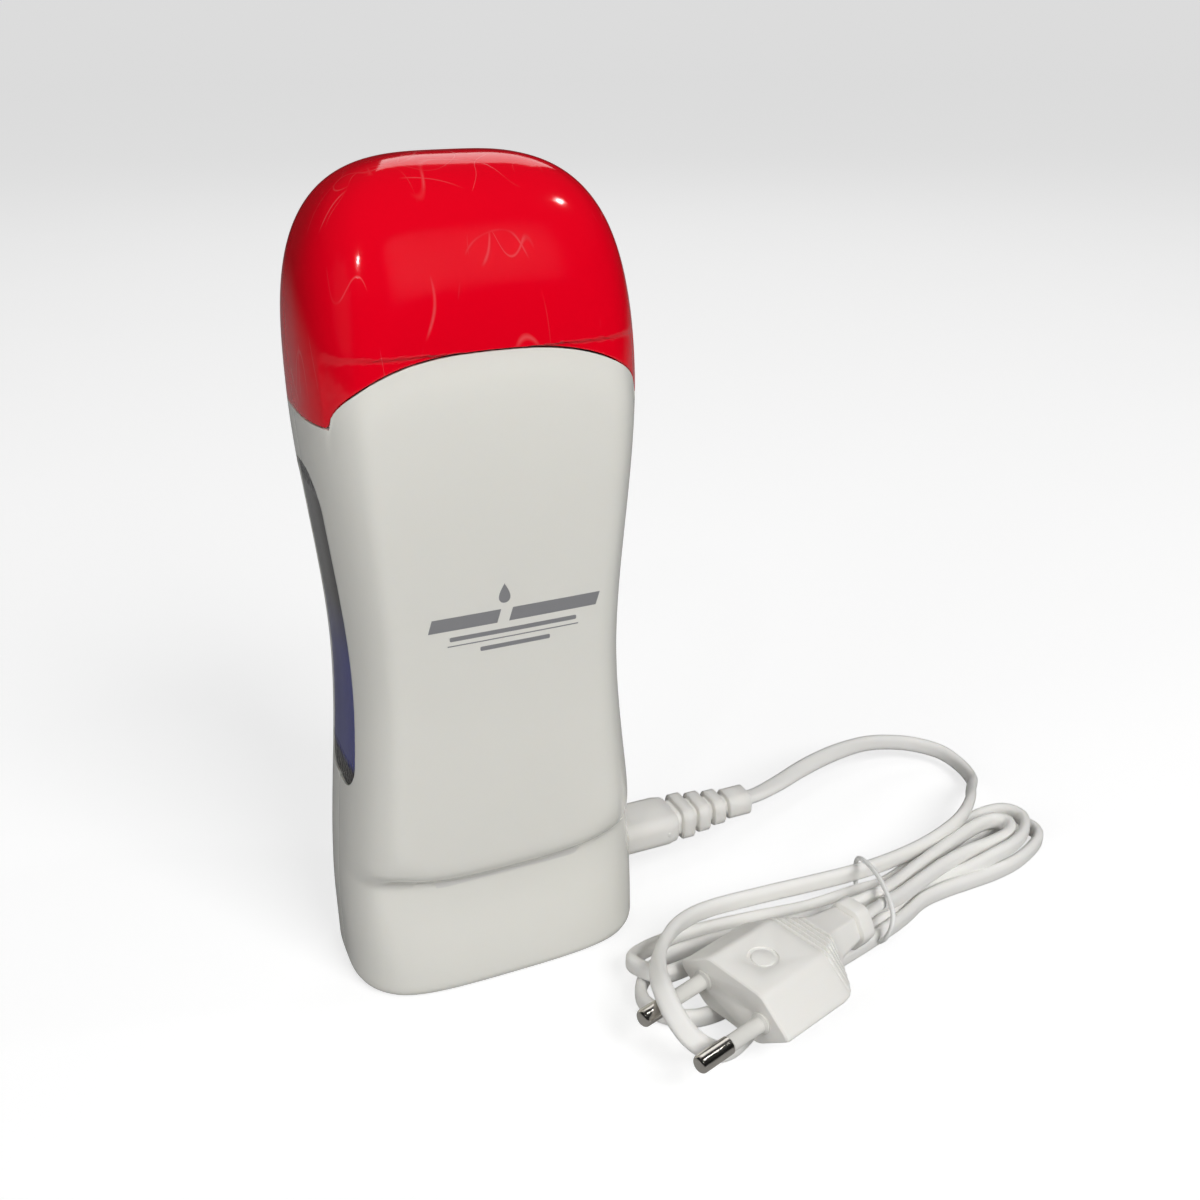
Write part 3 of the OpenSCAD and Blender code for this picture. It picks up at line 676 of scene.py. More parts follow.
@dataclass
class Shell:
    """One half of the housing: a skin that ends at the part line, the window, the inlet and the arch.

    The first rows of the skin, bottom in number, cover the underside, and the last of these, foot in
    number, the rounded bottom edge. The higher rows bend towards the crease, the openings and the arch.
    """

    name: str
    node: str
    front: bool
    wall: float = 2.2 * MM
    columns: int = 112
    rows: int = 150
    cap_gap: float = 0.2 * MM
    edge: float = 0.3 * MM
    reach: float = 0.24
    margin: float = 3.9 * MM
    bottom: int = 12
    foot: int = 5
    lift_z: float = 100.0 * MM
    free_z: float = 127.0 * MM
    crease_reach: float = 9.0 * MM

    def heights(self) -> list[float]:
        """Nominal heights of the rows, closer together where an edge runs round an opening's end."""
        low, high, count = FORM.foot_r, FORM.cap_z - self.cap_gap, self.rows - self.bottom
        fine = 1200
        total, sums = 0.0, [0.0]
        for k in range(fine):
            z = lerp(low, high, (k + 0.5) / fine)
            near = any(start < z < end for opening in (WINDOW, INLET) for start, end in (
                (opening.low_z - self.margin, opening.low_z + opening.low_r),
                (opening.high_z - opening.high_r, opening.high_z + self.margin)))
            total += 1.8 if near else 1.0
            sums.append(total)
        rows, k = [], 0
        for i in range(count + 1):
            while k < fine and sums[k] < total * i / count - 1e-9:
                k += 1
            rows.append(lerp(low, high, k / fine))
        return rows

    def edge_at(self, opening: Opening, z: float) -> tuple[float, float]:
        """Find the point of the part line's edge that belongs to a nominal height.

        Args:
            opening: The opening that the edge runs round.
            z: The nominal height.

        Returns:
            The point's distance from the part line and its height.
        """
        outline = opening.outline(0.15 * MM)
        middle = len(outline) // 2
        lower = [(FORM.part_gap, outline[0][1])] + outline[:middle]
        upper = outline[middle:] + [(FORM.part_gap, outline[-1][1])]
        low, high = lower[0][1], upper[-1][1]
        if z < low - 2 * self.margin or z > high + 2 * self.margin:
            return FORM.part_gap, z
        if z < low - self.margin:
            return FORM.part_gap, low - 2 * (low - self.margin - z)
        if z > high + self.margin:
            return FORM.part_gap, high + 2 * (z - high - self.margin)
        if z < lower[-1][1]:
            return self.along(lower, (z - low + self.margin) / (lower[-1][1] - low + self.margin))
        if z > upper[0][1]:
            return self.along(upper, (z - upper[0][1]) / (high + self.margin - upper[0][1]))
        return outline[middle][0], z

    @staticmethod
    def along(points: Outline, share: float) -> tuple[float, float]:
        """Point at a share of the length of a line through points."""
        lengths = [math.dist(a, b) for a, b in zip(points, points[1:])]
        rest = sum(lengths) * share
        for (a, b), length in zip(zip(points, points[1:]), lengths):
            if rest <= length and length > 0:
                return lerp(a[0], b[0], rest / length), lerp(a[1], b[1], rest / length)
            rest -= length
        return points[-1]

    def make(self) -> Piece:
        """Model the shell."""
        heights = self.heights()
        left = [self.edge_at(WINDOW, z) for z in heights]
        right = [self.edge_at(INLET, z) for z in heights]
        bottom, foot = self.bottom, self.foot
        high = FORM.cap_z - self.cap_gap

        def place(column: int, row: int) -> Vector:
            """Place of a point of the skin."""
            share = column / self.columns
            if row < bottom:
                start = FORM.share_at(FORM.part_gap, FORM.foot_r, self.front, True)
                share = lerp(start, 1 - start, share)
                if row <= bottom - foot:
                    there = FORM.point(share, 0.0, self.front)
                    there.y *= max(0.02, row / (bottom - foot))
                    return there
                a = math.pi / 2 * (row - bottom + foot) / foot
                return FORM.point(share, FORM.foot_r * (1 - math.cos(a)), self.front)
            i = row - bottom
            z = heights[i]
            z_left, z_right = left[i][1], right[i][1]
            s_left = FORM.share_at(left[i][0], z_left, self.front, True)
            s_right = FORM.share_at(right[i][0], z_right, self.front, False)
            at = lerp(s_left, s_right, share)
            pull_left = max(0.0, 1 - share / self.reach) ** 2
            pull_right = max(0.0, 1 - (1 - share) / self.reach) ** 2
            z += (z_left - z) * pull_left + (z_right - z) * pull_right
            there = FORM.point(at, z, self.front)
            lift = ease((z - self.lift_z) / (high - self.lift_z))
            bend = math.exp(-((z - FORM.crease_z) / self.crease_reach) ** 2) if self.front else 0.0
            free = 1 - max(pull_left, pull_right) if z < self.free_z else 1.0
            for _ in range(4):
                up = (FORM.arch(there.x) - self.cap_gap - high) * lift
                up += (FORM.crease(there.x) - FORM.crease_z) * bend * free
                there = FORM.point(at, z + up, self.front)
            return there

        shell = skin(self.name, self.columns, self.rows, place, flip=not self.front)
        add_wall(shell, self.wall)
        round_off(shell, self.edge, 3, 50, 40)
        return fit_out(shell, "heater", Slot.SHELL, self.node)


@dataclass
class Cap:
    """Domed cap with an arched lower edge."""

    wall: float = 2.0 * MM
    columns: int = 200
    rows: int = 64
    gap: float = 0.2 * MM
    dome_start: float = 155.0 * MM
    straight: int = 18
    edge: float = 0.4 * MM

    def make(self) -> Piece:
        """Model the cap."""
        straight = self.straight

        def place(column: int, row: int) -> Vector:
            """Place of a point of the skin."""
            share = (column % self.columns) / self.columns * 2
            front = share < 1
            at = share if front else 2 - share
            if row <= straight:
                t = row / straight
                there = FORM.point(at, FORM.cap_z, front)
                for _ in range(5):
                    low = FORM.arch(there.x) + self.gap
                    there = FORM.point(at, lerp(low, self.dome_start, t), front)
                return there
            first = math.acos(FORM.dome(self.dome_start, FORM.dome_wide))
            a = lerp(first, math.pi / 2, (row - straight) / (self.rows - straight))
            rest = max(0.0, math.cos(a))
            t = (1 - rest ** FORM.dome_wide) ** (1 / FORM.dome_wide)
            return FORM.point(at, lerp(FORM.cap_z, FORM.top, t), front)

        cap = skin("cap_dome", self.columns, self.rows, place)
        add_wall(cap, self.wall)
        round_off(cap, self.edge, 3, 55, 50)
        return fit_out(cap, "cap", Slot.CAP, "cap")


@dataclass
class SideWindow:
    """Clear window in the left narrow side, a little below the shells' surface."""

    inset: float = 0.35 * MM
    thickness: float = 1.6 * MM
    columns: int = 28
    rows: int = 90

    def make(self) -> Piece:
        """Model the window."""
        half = WINDOW.outline(0.0, 10)
        heights = [p[1] for p in half]
        low, high = min(heights), max(heights)

        def half_at(z: float) -> float:
            """Half the window's width at a height."""
            for (w0, z0), (w1, z1) in zip(half, half[1:]):
                if z0 <= z <= z1 and z1 > z0:
                    return lerp(w0, w1, (z - z0) / (z1 - z0))
            return half[0][0]

        def place(column: int, row: int) -> Vector:
            """Place of a point of the skin."""
            a = math.pi * row / self.rows
            z = lerp(low, high, (1 - math.cos(a)) / 2)
            side = 2 * column / self.columns - 1
            y = side * half_at(z)
            front = y < 0
            there = FORM.point(FORM.share_at(abs(y), z, front, True), z, front, self.inset)
            there.y = y
            return there

        window = skin("window_pane", self.columns, self.rows, place, flip=True)
        add_wall(window, self.thickness)
        round_off(window, 0.3 * MM, 2, 50, 40)
        return fit_out(window, "heater", Slot.WINDOW, "side_window")


# ---------------------------------------------------------------- printed mark


@dataclass
class PrintedMark:
    """Plain grey print on the front: a drop, two slanted bars and three rules. It spells nothing."""

    middle_x: float = 1.5 * MM
    middle_z: float = 94.0 * MM
    film: float = 0.04 * MM

    def shape(self, name: str, outline: Outline) -> Piece:
        """Lay a flat outline on the heater's front.

        Args:
            name: Name of the shape.
            outline: Its corners, as x and z from the mark's middle.

        Returns:
            The printed shape.
        """
        deselect_all()
        bpy.ops.mesh.primitive_circle_add(vertices=len(outline), radius=0.01, fill_type="NGON")
        piece = bpy.context.object
        piece.name = piece.data.name = name
        for vertex, (x, z) in zip(piece.data.vertices, outline):
            vertex.co = (self.middle_x + x, 0.0, self.middle_z + z)
        for x in range(-20, 24, 4):
            edit_all(piece, bpy.ops.mesh.bisect, plane_co=(x * MM, 0, 0), plane_no=(1, 0, 0))
        for vertex in piece.data.vertices:
            vertex.co.y = self.front_at(vertex.co.x, vertex.co.z) - self.film
        return piece

    def front_at(self, x: float, z: float) -> float:
        """Place of the front surface."""
        low, high = 0.0, 1.0
        for _ in range(30):
            middle = (low + high) / 2
            if FORM.point(middle, z, True).x < x:
                low = middle
            else:
                high = middle
        return FORM.point(low, z, True).y

    @staticmethod
    def bar(x0: float, x1: float, z0: float, z1: float, round_r: float = 0.3) -> Outline:
        """Corners of a bar with rounded ends, in millimetres turned to metres."""
        points = []
        for cx, cz, start in ((x1, z0, -90), (x1, z1, 0), (x0, z1, 90), (x0, z0, 180)):
            sx, sz = (-1 if cx == x1 else 1), (1 if cz == z0 else -1)
            for k in range(5):
                a = math.radians(start + 22.5 * k)
                points.append(((cx + sx * round_r + round_r * math.cos(a)) * MM,
                               (cz + sz * round_r + round_r * math.sin(a)) * MM))
        return points

    @staticmethod
    def slanted(x0: float, x1: float, z0: float, z1: float) -> Outline:
        """Corners of a bar with slanted ends, in millimetres turned to metres."""
        lean = 0.9
        return [(x * MM, z * MM) for x, z in ((x0, z0), (x1, z0), (x1 + lean, z1), (x0 + lean, z1))]

    @staticmethod
    def drop(x: float, z: float, size: float) -> Outline:
        """Corners of a drop, in millimetres turned to metres."""
        points = []
        for k in range(40):
            a = 2 * math.pi * k / 40
            narrow = math.sin(a / 2) ** 1.4
            points.append(((x + size * math.sin(a) * narrow * 0.55) * MM,
                           (z + size * math.cos(a) * 0.7) * MM))
        return points

    def make(self) -> list[Piece]:
        """Print the mark."""
        shapes = [self.shape("mark_drop", self.drop(-1.5, 7.0, 3.2)),
                  self.shape("mark_left_bar", self.slanted(-18.0, -3.2, 0.4, 3.4)),
                  self.shape("mark_right_bar", self.slanted(-0.6, 19.0, 0.4, 3.4)),
                  self.shape("mark_thin_bar", self.bar(-13.5, 14.5, -2.2, -1.2, 0.3)),
                  self.shape("mark_rule", self.bar(-14, 15, -3.4, -3.15, 0.1)),
                  self.shape("mark_low_bar", self.bar(-7, 8.5, -5.6, -4.6, 0.3))]
        ink = Finish("mark_ink", (0.30, 0.30, 0.31), roughness=0.34, metallic=0.3, tone=0.06)
        for piece in shapes:
            face_front(piece)
            piece.modifiers.new("film", "SOLIDIFY").thickness = 0.03 * MM
            apply_modifiers(piece)
            smooth(piece, 30)
            piece.data.materials.append(ink.build())
            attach(piece, "heater")
        return shapes


def face_front(piece: Piece) -> None:
    """Turn an open flat piece so that it faces -Y."""
    if sum(p.normal.y * p.area for p in piece.data.polygons) > 0:
        edit_all(piece, bpy.ops.mesh.flip_normals)


# ---------------------------------------------------------------- mains lead

# Routes are in millimetres: x, y and z of the cord, and the turn of its flat side in degrees.
# From the strain relief to the tie
LEAD_ROUTE = [
    (72, 0, 16.8, 0), (78, 0.6, 16.7, 0), (86, 3.4, 16.3, 10), (97, 8.5, 15.4, 30), (107, 13, 14, 50),
    (117, 17, 12.2, 70), (127, 20, 10.2, 85), (136, 20.6, 8.2, 90), (144.5, 19, 6.2, 90),
    (151, 14, 4.6, 90), (153, 6.5, 3.2, 90), (150.5, -1.5, 3.6, 90), (144.5, -8, 6, 90),
    (138, -15.5, 9, 90), (130, -22, 9.8, 90), (122, -25.4, 9, 90), (112, -27.4, 7.8, 90),
    (100, -28.8, 7.4, 90), (88, -29.8, 8, 90),
]
# From the tie to the front loop
TOP_RUN = [
    (78, -28.8, 7.6, 90), (68, -27.8, 7.4, 90),
]
# Front loop, over one plug pin and back under the plug
LOOP_ROUTE = [
    (58, -27.2, 7.4, 90), (50, -27.4, 7.8, 90), (42.5, -29.6, 9, 90), (35.5, -34, 10.6, 84),
    (28.5, -41.5, 12.4, 70), (24, -49.5, 14.4, 50), (21.6, -57, 15.9, 35), (21.4, -63, 14, 35),
    (23.4, -67.4, 10.6, 50), (28, -69, 6.6, 80), (34, -67, 3.4, 90), (41, -63, 2.4, 90),
    (48, -59, 2.4, 90),
]
# Runs of the hank, from the front loop to and fro through the tie, the lower layer first, all on edge
HANK_ROUTE = [
    (58, -55.5, 2.4), (68, -52, 2.4), (78, -49.5, 2.5), (88, -47.5, 3.6), (96, -44, 2.5),
    (104, -40.5, 2.4), (112, -39.3, 2.4), (120, -39, 2.4), (128, -38.6, 2.4), (136, -37.3, 2.4),
    (143.5, -34.6, 2.4), (149.5, -31, 2.4), (151.3, -27, 2.4), (149, -23.6, 2.4), (142.6, -22.6, 2.4),
    (134.6, -24, 2.4), (124.8, -26.5, 2.4), (115.6, -29.8, 2.4), (106, -33, 2.4), (97, -36.5, 2.5),
    (88, -38.5, 3.6), (75, -37, 2.4), (60, -34.5, 2.4), (45, -33, 2.4), (33, -34, 2.4), (24.5, -40, 2.4),
    (23, -47, 2.4), (28, -53.5, 2.6), (36, -55, 2.4), (48, -52.5, 2.4), (60, -50, 2.4), (75, -47, 2.4),
    (88, -44.5, 3.6), (97, -40.2, 2.5), (105, -37.2, 2.4), (113, -35.9, 2.6), (121, -36.8, 4.4),
    (129, -37.1, 6.8), (136.5, -35.6, 7.2), (143, -32, 7.2), (146.6, -27, 7.3), (144.6, -21.8, 7),
    (138.6, -18.8, 5), (131, -19.4, 3), (123, -22.3, 2.4), (115, -25.6, 2.4), (107, -28.4, 2.4),
    (98, -31.2, 2.5), (88, -32.3, 3.6), (75, -31.4, 2.4), (60, -29.6, 2.4), (45, -28.2, 2.4),
    (34, -29, 3), (26, -32.5, 4.5), (23.8, -38, 7), (28, -43.5, 7.2), (35, -43.5, 7.2), (42, -42, 7.2),
    (52, -40.2, 7.2), (64, -40, 7.2), (75, -40.6, 7.3), (88, -40.6, 8.4), (97, -37.4, 7.4),
    (106, -33.8, 7.2), (115, -30.6, 7.2), (124, -27.6, 7.2), (132.5, -25, 7.2), (138.8, -24.6, 7.2),
    (141.4, -27.8, 7.2), (138, -31.4, 7.2), (131, -33, 7.2), (122, -33.8, 7.2), (113, -35.8, 7.2),
    (104, -38.8, 7.2),
]
# From the last run up into the plug's collar
PLUG_ROUTE = [
    (95, -42, 7.4, 90), (88, -44.6, 9, 70), (82, -47.6, 11, 40), (74.34, -50.29, 11.7, 20),
]
# Wire tie round the runs
TIE_ROUTE = [
    (84, -51, 4), (85, -52.4, 8), (86.5, -50.5, 11.6), (88.5, -44, 13.6), (90, -37, 13.8),
    (91, -30, 12.2), (91.9, -27.3, 8.2), (91.6, -28.4, 3.6), (89.8, -33, 0.7), (87, -40, 0.7),
    (85, -46.6, 0.8),
]


def spline(before: Vector, start: Vector, end: Vector, after: Vector, t: float) -> Vector:
    """Point at share t of a smooth stretch between two route points."""
    return 0.5 * (2 * start + (end - before) * t + (2 * before - 5 * start + 4 * end - after) * t ** 2
                  + (3 * start - before - 3 * end + after) * t ** 3)


def smooth_route(route: list[tuple[float, ...]], step: float, closed: bool = False) -> list[Vector]:
    """Draw one smooth curve through a route.

    Args:
        route: Points of the route in millimetres, with any further values that change along it.
        step: Length of a stretch between two points of the curve.
        closed: Whether the route ends where it starts.

    Returns:
        Points of the curve in metres, with the same number of values as the route's points.
    """
    points = [Vector((*(c / 1000 for c in p[:3]), *p[3:])) for p in route]
    count = len(points)

    def at(index: int) -> Vector:
        """Route point, held at the ends of an open route."""
        return points[index % count] if closed else points[max(0, min(count - 1, index))]

    curve = []
    for i in range(count if closed else count - 1):
        length = (at(i + 1).to_3d() - at(i).to_3d()).length
        parts = max(2, round(length / step))
        curve += [spline(at(i - 1), at(i), at(i + 1), at(i + 2), k / parts) for k in range(parts)]
    return curve if closed else curve + [points[-1]]


def sweep(name: str, path: list[Vector], outline: Callable, columns: int, closed: bool = False) -> Piece:
    """Sweep an outline along a path.

    Args:
        name: Name of the piece.
        path: Points of the path; a fourth value turns the outline, in degrees.
        outline: Gives the sideways and the upward place of each of the outline's points.
        columns: Number of points of the outline.
        closed: Whether the path ends where it starts.

    Returns:
        The closed piece.
    """
    count = len(path)
    frames = []
    for i, point in enumerate(path):
        ahead = path[(i + 1) % count] if closed else path[min(count - 1, i + 1)]
        behind = path[i - 1] if closed or i else path[0]
        along = (ahead.to_3d() - behind.to_3d()).normalized()
        side = Vector((0.02, -0.01, 1.0)).cross(along).normalized()
        up = along.cross(side)
        turn = math.radians(point[3]) if len(point) > 3 else 0.0
        frames.append((point.to_3d(), side * math.cos(turn) + up * math.sin(turn),
                       up * math.cos(turn) - side * math.sin(turn)))
    spots = [outline(k) for k in range(columns)]

    def place(column: int, row: int) -> Vector:
        """Place of a point of the surface."""
        middle, side, up = frames[row % count]
        u, v = spots[column % columns]
        return middle + side * u + up * v

    piece = skin(name, columns, count if closed else count - 1, place)
    if not closed:
        close_ends(piece)
    face_outwards(piece)
    return piece


def close_ends(piece: Piece) -> None:
    """Fill the open ends of a piece."""
    activate(piece)
    bpy.ops.object.mode_set(mode="EDIT")
    bpy.ops.mesh.select_all(action="DESELECT")
    bpy.ops.mesh.select_mode(type="EDGE")
    bpy.ops.mesh.select_non_manifold()
    bpy.ops.mesh.fill_holes(sides=0)
    bpy.ops.mesh.select_mode(type="VERT")
    bpy.ops.object.mode_set(mode="OBJECT")


def rounded_outline(wide: float, high: float, radius: float, arc: int = 6) -> Outline:
    """Points of a rectangle with rounded corners, round its middle."""
    radius = min(radius, wide / 2, high / 2)
    points = []
    for sx, sy, start in ((1, 1, 0), (-1, 1, 90), (-1, -1, 180), (1, -1, 270)):
        for k in range(arc + 1):
            a = math.radians(start + 90 * k / arc)
            points.append((sx * (wide / 2 - radius) + radius * math.cos(a),
                           sy * (high / 2 - radius) + radius * math.sin(a)))
    return points


def stack(name: str, slices: list[tuple[float, Outline]]) -> Piece:
    """Join outlines that stand one after another along X into one closed piece.

    Args:
        name: Name of the piece.
        slices: For each outline its place along X and its points, as y and z.

    Returns:
        The closed piece.
    """
    columns = len(slices[0][1])

    def place(column: int, row: int) -> Vector:
        """Place of a point of the surface."""
        x, outline = slices[row]
        y, z = outline[column % columns]
        return Vector((x, y, z))

    piece = skin(name, columns, len(slices) - 1, place)
    close_ends(piece)
    face_outwards(piece)
    return piece


def cut(piece: Piece, cutter: Piece) -> None:
    """Take the cutter's shape out of a piece, and remove the cutter."""
    taken = piece.modifiers.new("cut", "BOOLEAN")
    taken.operation = "DIFFERENCE"
    taken.solver = "EXACT"
    taken.object = cutter
    apply_modifiers(piece)
    bpy.data.objects.remove(cutter, do_unlink=True)


def rod(name: str, radius: float, start: Vector, end: Vector, sides: int = 32) -> Piece:
    """Make a plain rod between two points, to cut with."""
    deselect_all()
    along = end - start
    bpy.ops.mesh.primitive_cylinder_add(vertices=sides, radius=radius, depth=along.length,
                                        location=(start + end) / 2,
                                        rotation=along.to_track_quat("Z", "Y").to_euler())
    piece = bpy.context.object
    piece.name = piece.data.name = name
    settle(piece)
    return piece


@dataclass
class MainsCord:
    """Flat two-core cord, from the strain relief through the tied hank to the plug."""

    width: float = 4.8 * MM
    thickness: float = 2.9 * MM
    step: float = 1.3 * MM
    around: int = 20
    length: float = 1.02
    path: list[Vector] = field(default_factory=list)

    def outline(self, index: int) -> tuple[float, float]:
        """Point of the cord's section: two round cores with a shallow groove between them."""
        a = 2 * math.pi * (index + 0.5) / self.around
        core = self.thickness / 2
        offset = self.width / 2 - core
        u = offset * signed_power(math.cos(a), 0.35) + core * math.cos(a)
        waist = 1 - 0.14 * math.exp(-(u / (0.45 * core)) ** 2)
        return u, core * math.sin(a) * waist

    def make(self) -> Piece:
        """Sweep the cord along its whole route."""
        hank = [(*point, 90) for point in HANK_ROUTE]
        route = LEAD_ROUTE + TOP_RUN + LOOP_ROUTE + hank + PLUG_ROUTE
        self.path = smooth_route(route, self.step)
        cord = sweep("mains_cord", self.path, self.outline, self.around)
        smooth(cord, 60)
        run = sum((b.to_3d() - a.to_3d()).length for a, b in zip(self.path, self.path[1:]))
        LOG.info("cord runs for %.3f m", run)
        return fit_out(cord, "lead", Slot.CORD, "cord_lead", "cord_loop", "cord_hank")

    def declare(self) -> None:
        """Collect every third point of the cord's path and its last point; nothing is done with them."""
        points = [tuple(p[:3]) for p in self.path[:-2:3]] + [tuple(self.path[-1][:3])]
        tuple(points[0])


@dataclass
class WireTie:
    """Thin coated wire tie round the runs."""

    radius: float = 0.6 * MM
    around: int = 12

    def outline(self, index: int) -> tuple[float, float]:
        """Point of the wire's round section."""
        a = 2 * math.pi * index / self.around
        return self.radius * math.cos(a), self.radius * math.sin(a)

    def make(self) -> Piece:
        """Sweep the wire round the runs."""
        tie = sweep("tie_wire", smooth_route(TIE_ROUTE, 0.8 * MM, True), self.outline, self.around, True)
        smooth(tie, 60)
        return fit_out(tie, "lead", Slot.TIE, "cord_tie")


@dataclass
class Connector:
    """Figure-8 connector with a rounded grip, a ribbed strain relief and a nose with two sockets."""

    grip_x: float = 36.2 * MM
    grip_l: float = 15.0 * MM
    grip_w: float = 14.0 * MM
    grip_h: float = 8.6 * MM
    end_x: float = 74.0 * MM
    end_w: float = 8.2 * MM
    end_h: float = 6.6 * MM
    collars: int = 3
    collar_pitch: float = 4.9 * MM
    groove: float = 1.6 * MM
    nose_l: float = 10.6 * MM
    nose_r: float = 4.0 * MM
    nose_y: float = 2.85 * MM
    socket_y: float = 4.3 * MM
    socket_r: float = 1.86 * MM
    z: float = INLET_Z

    def raised(self, outline: Outline) -> Outline:
        """Outline moved up to the connector's height."""
        return [(y, z + self.z) for y, z in outline]

    def moulding(self) -> Piece:
        """Model the grip and the strain relief."""
        grip_end = self.grip_x + self.grip_l
        slices = [(self.grip_x, self.grip_w - 0.6 * MM, self.grip_h - 0.6 * MM, 2.7 * MM),
                  (self.grip_x + 0.4 * MM, self.grip_w, self.grip_h, 3.0 * MM),
                  (grip_end - 3 * MM, self.grip_w, self.grip_h, 3.0 * MM),
                  (grip_end - 0.6 * MM, self.grip_w - 1.2 * MM, self.grip_h - 0.5 * MM, 2.8 * MM),
                  (grip_end, self.grip_w - 2.2 * MM, self.grip_h - 1.2 * MM, 2.6 * MM)]
        for k in range(self.collars + 1):
            x = grip_end + self.collar_pitch * k
            share = k / self.collars
            wide = lerp(self.grip_w - 2.0 * MM, self.end_w, share)
            high = lerp(self.grip_h + 0.2 * MM, self.end_h, share)
            neck_w, neck_h = wide - 2.6 * MM, high - 1.9 * MM
            start = x + self.groove
            last = self.end_x if k == self.collars else x + self.collar_pitch
            slices += [(x + 0.15 * MM, neck_w, neck_h, 2.2 * MM),
                       (start - 0.15 * MM, neck_w, neck_h, 2.2 * MM)]
            slices += [(start, wide - 0.5 * MM, high - 0.5 * MM, 2.4 * MM)]
            slices += [(start + 0.3 * MM, wide, high, 2.6 * MM), (last - 0.3 * MM, wide, high, 2.6 * MM)]
            slices += [(last, wide - 0.5 * MM, high - 0.5 * MM, 2.4 * MM)]
        outlines = [(x, self.raised(rounded_outline(w, h, r))) for x, w, h, r in slices]
        piece = stack("connector_moulding", outlines)
        round_off(piece, 0.18 * MM, 2, 45, 50)
        return fit_out(piece, "lead", Slot.LEAD, "connector_body")

    def nose(self) -> Piece:
        """Model the nose that goes into the inlet, with its two sockets."""
        steps = 14
        outline = []
        for side in (1, -1):
            for k in range(steps + 1):
                reach = math.acos(-self.nose_y / self.nose_r * 0.999)
                a = lerp(-reach, reach, k / steps)
                outline.append((side * (self.nose_y + self.nose_r * math.cos(a)),
                                side * self.nose_r * math.sin(a)))
        tip = self.grip_x - self.nose_l
        nose = stack("connector_nose", [(tip, self.raised(outline)),
                                        (self.grip_x + 0.5 * MM, self.raised(outline))])
        for side in (1, -1):
            y = side * self.socket_y
            cut(nose, rod("socket", self.socket_r, Vector((tip - 1 * MM, y, self.z)),
                          Vector((self.grip_x - 0.6 * MM, y, self.z))))
        round_off(nose, 0.25 * MM, 2, 50, 40)
        return fit_out(nose, "lead", Slot.LEAD)

    def dimple(self) -> Piece:
        """Model the small round ejector mark on the grip's front."""
        y = -self.grip_w / 2
        spot = rod("connector_dot", 0.65 * MM, Vector((48.0 * MM, y + 0.3 * MM, self.z)),
                   Vector((48.0 * MM, y - 0.12 * MM, self.z)), 20)
        round_off(spot, 0.08 * MM, 2, 50, 40)
        return fit_out(spot, "lead", Slot.LEAD)

    def make(self) -> list[Piece]:
        """Model the connector."""
        return [self.moulding(), self.nose(), self.dimple()]


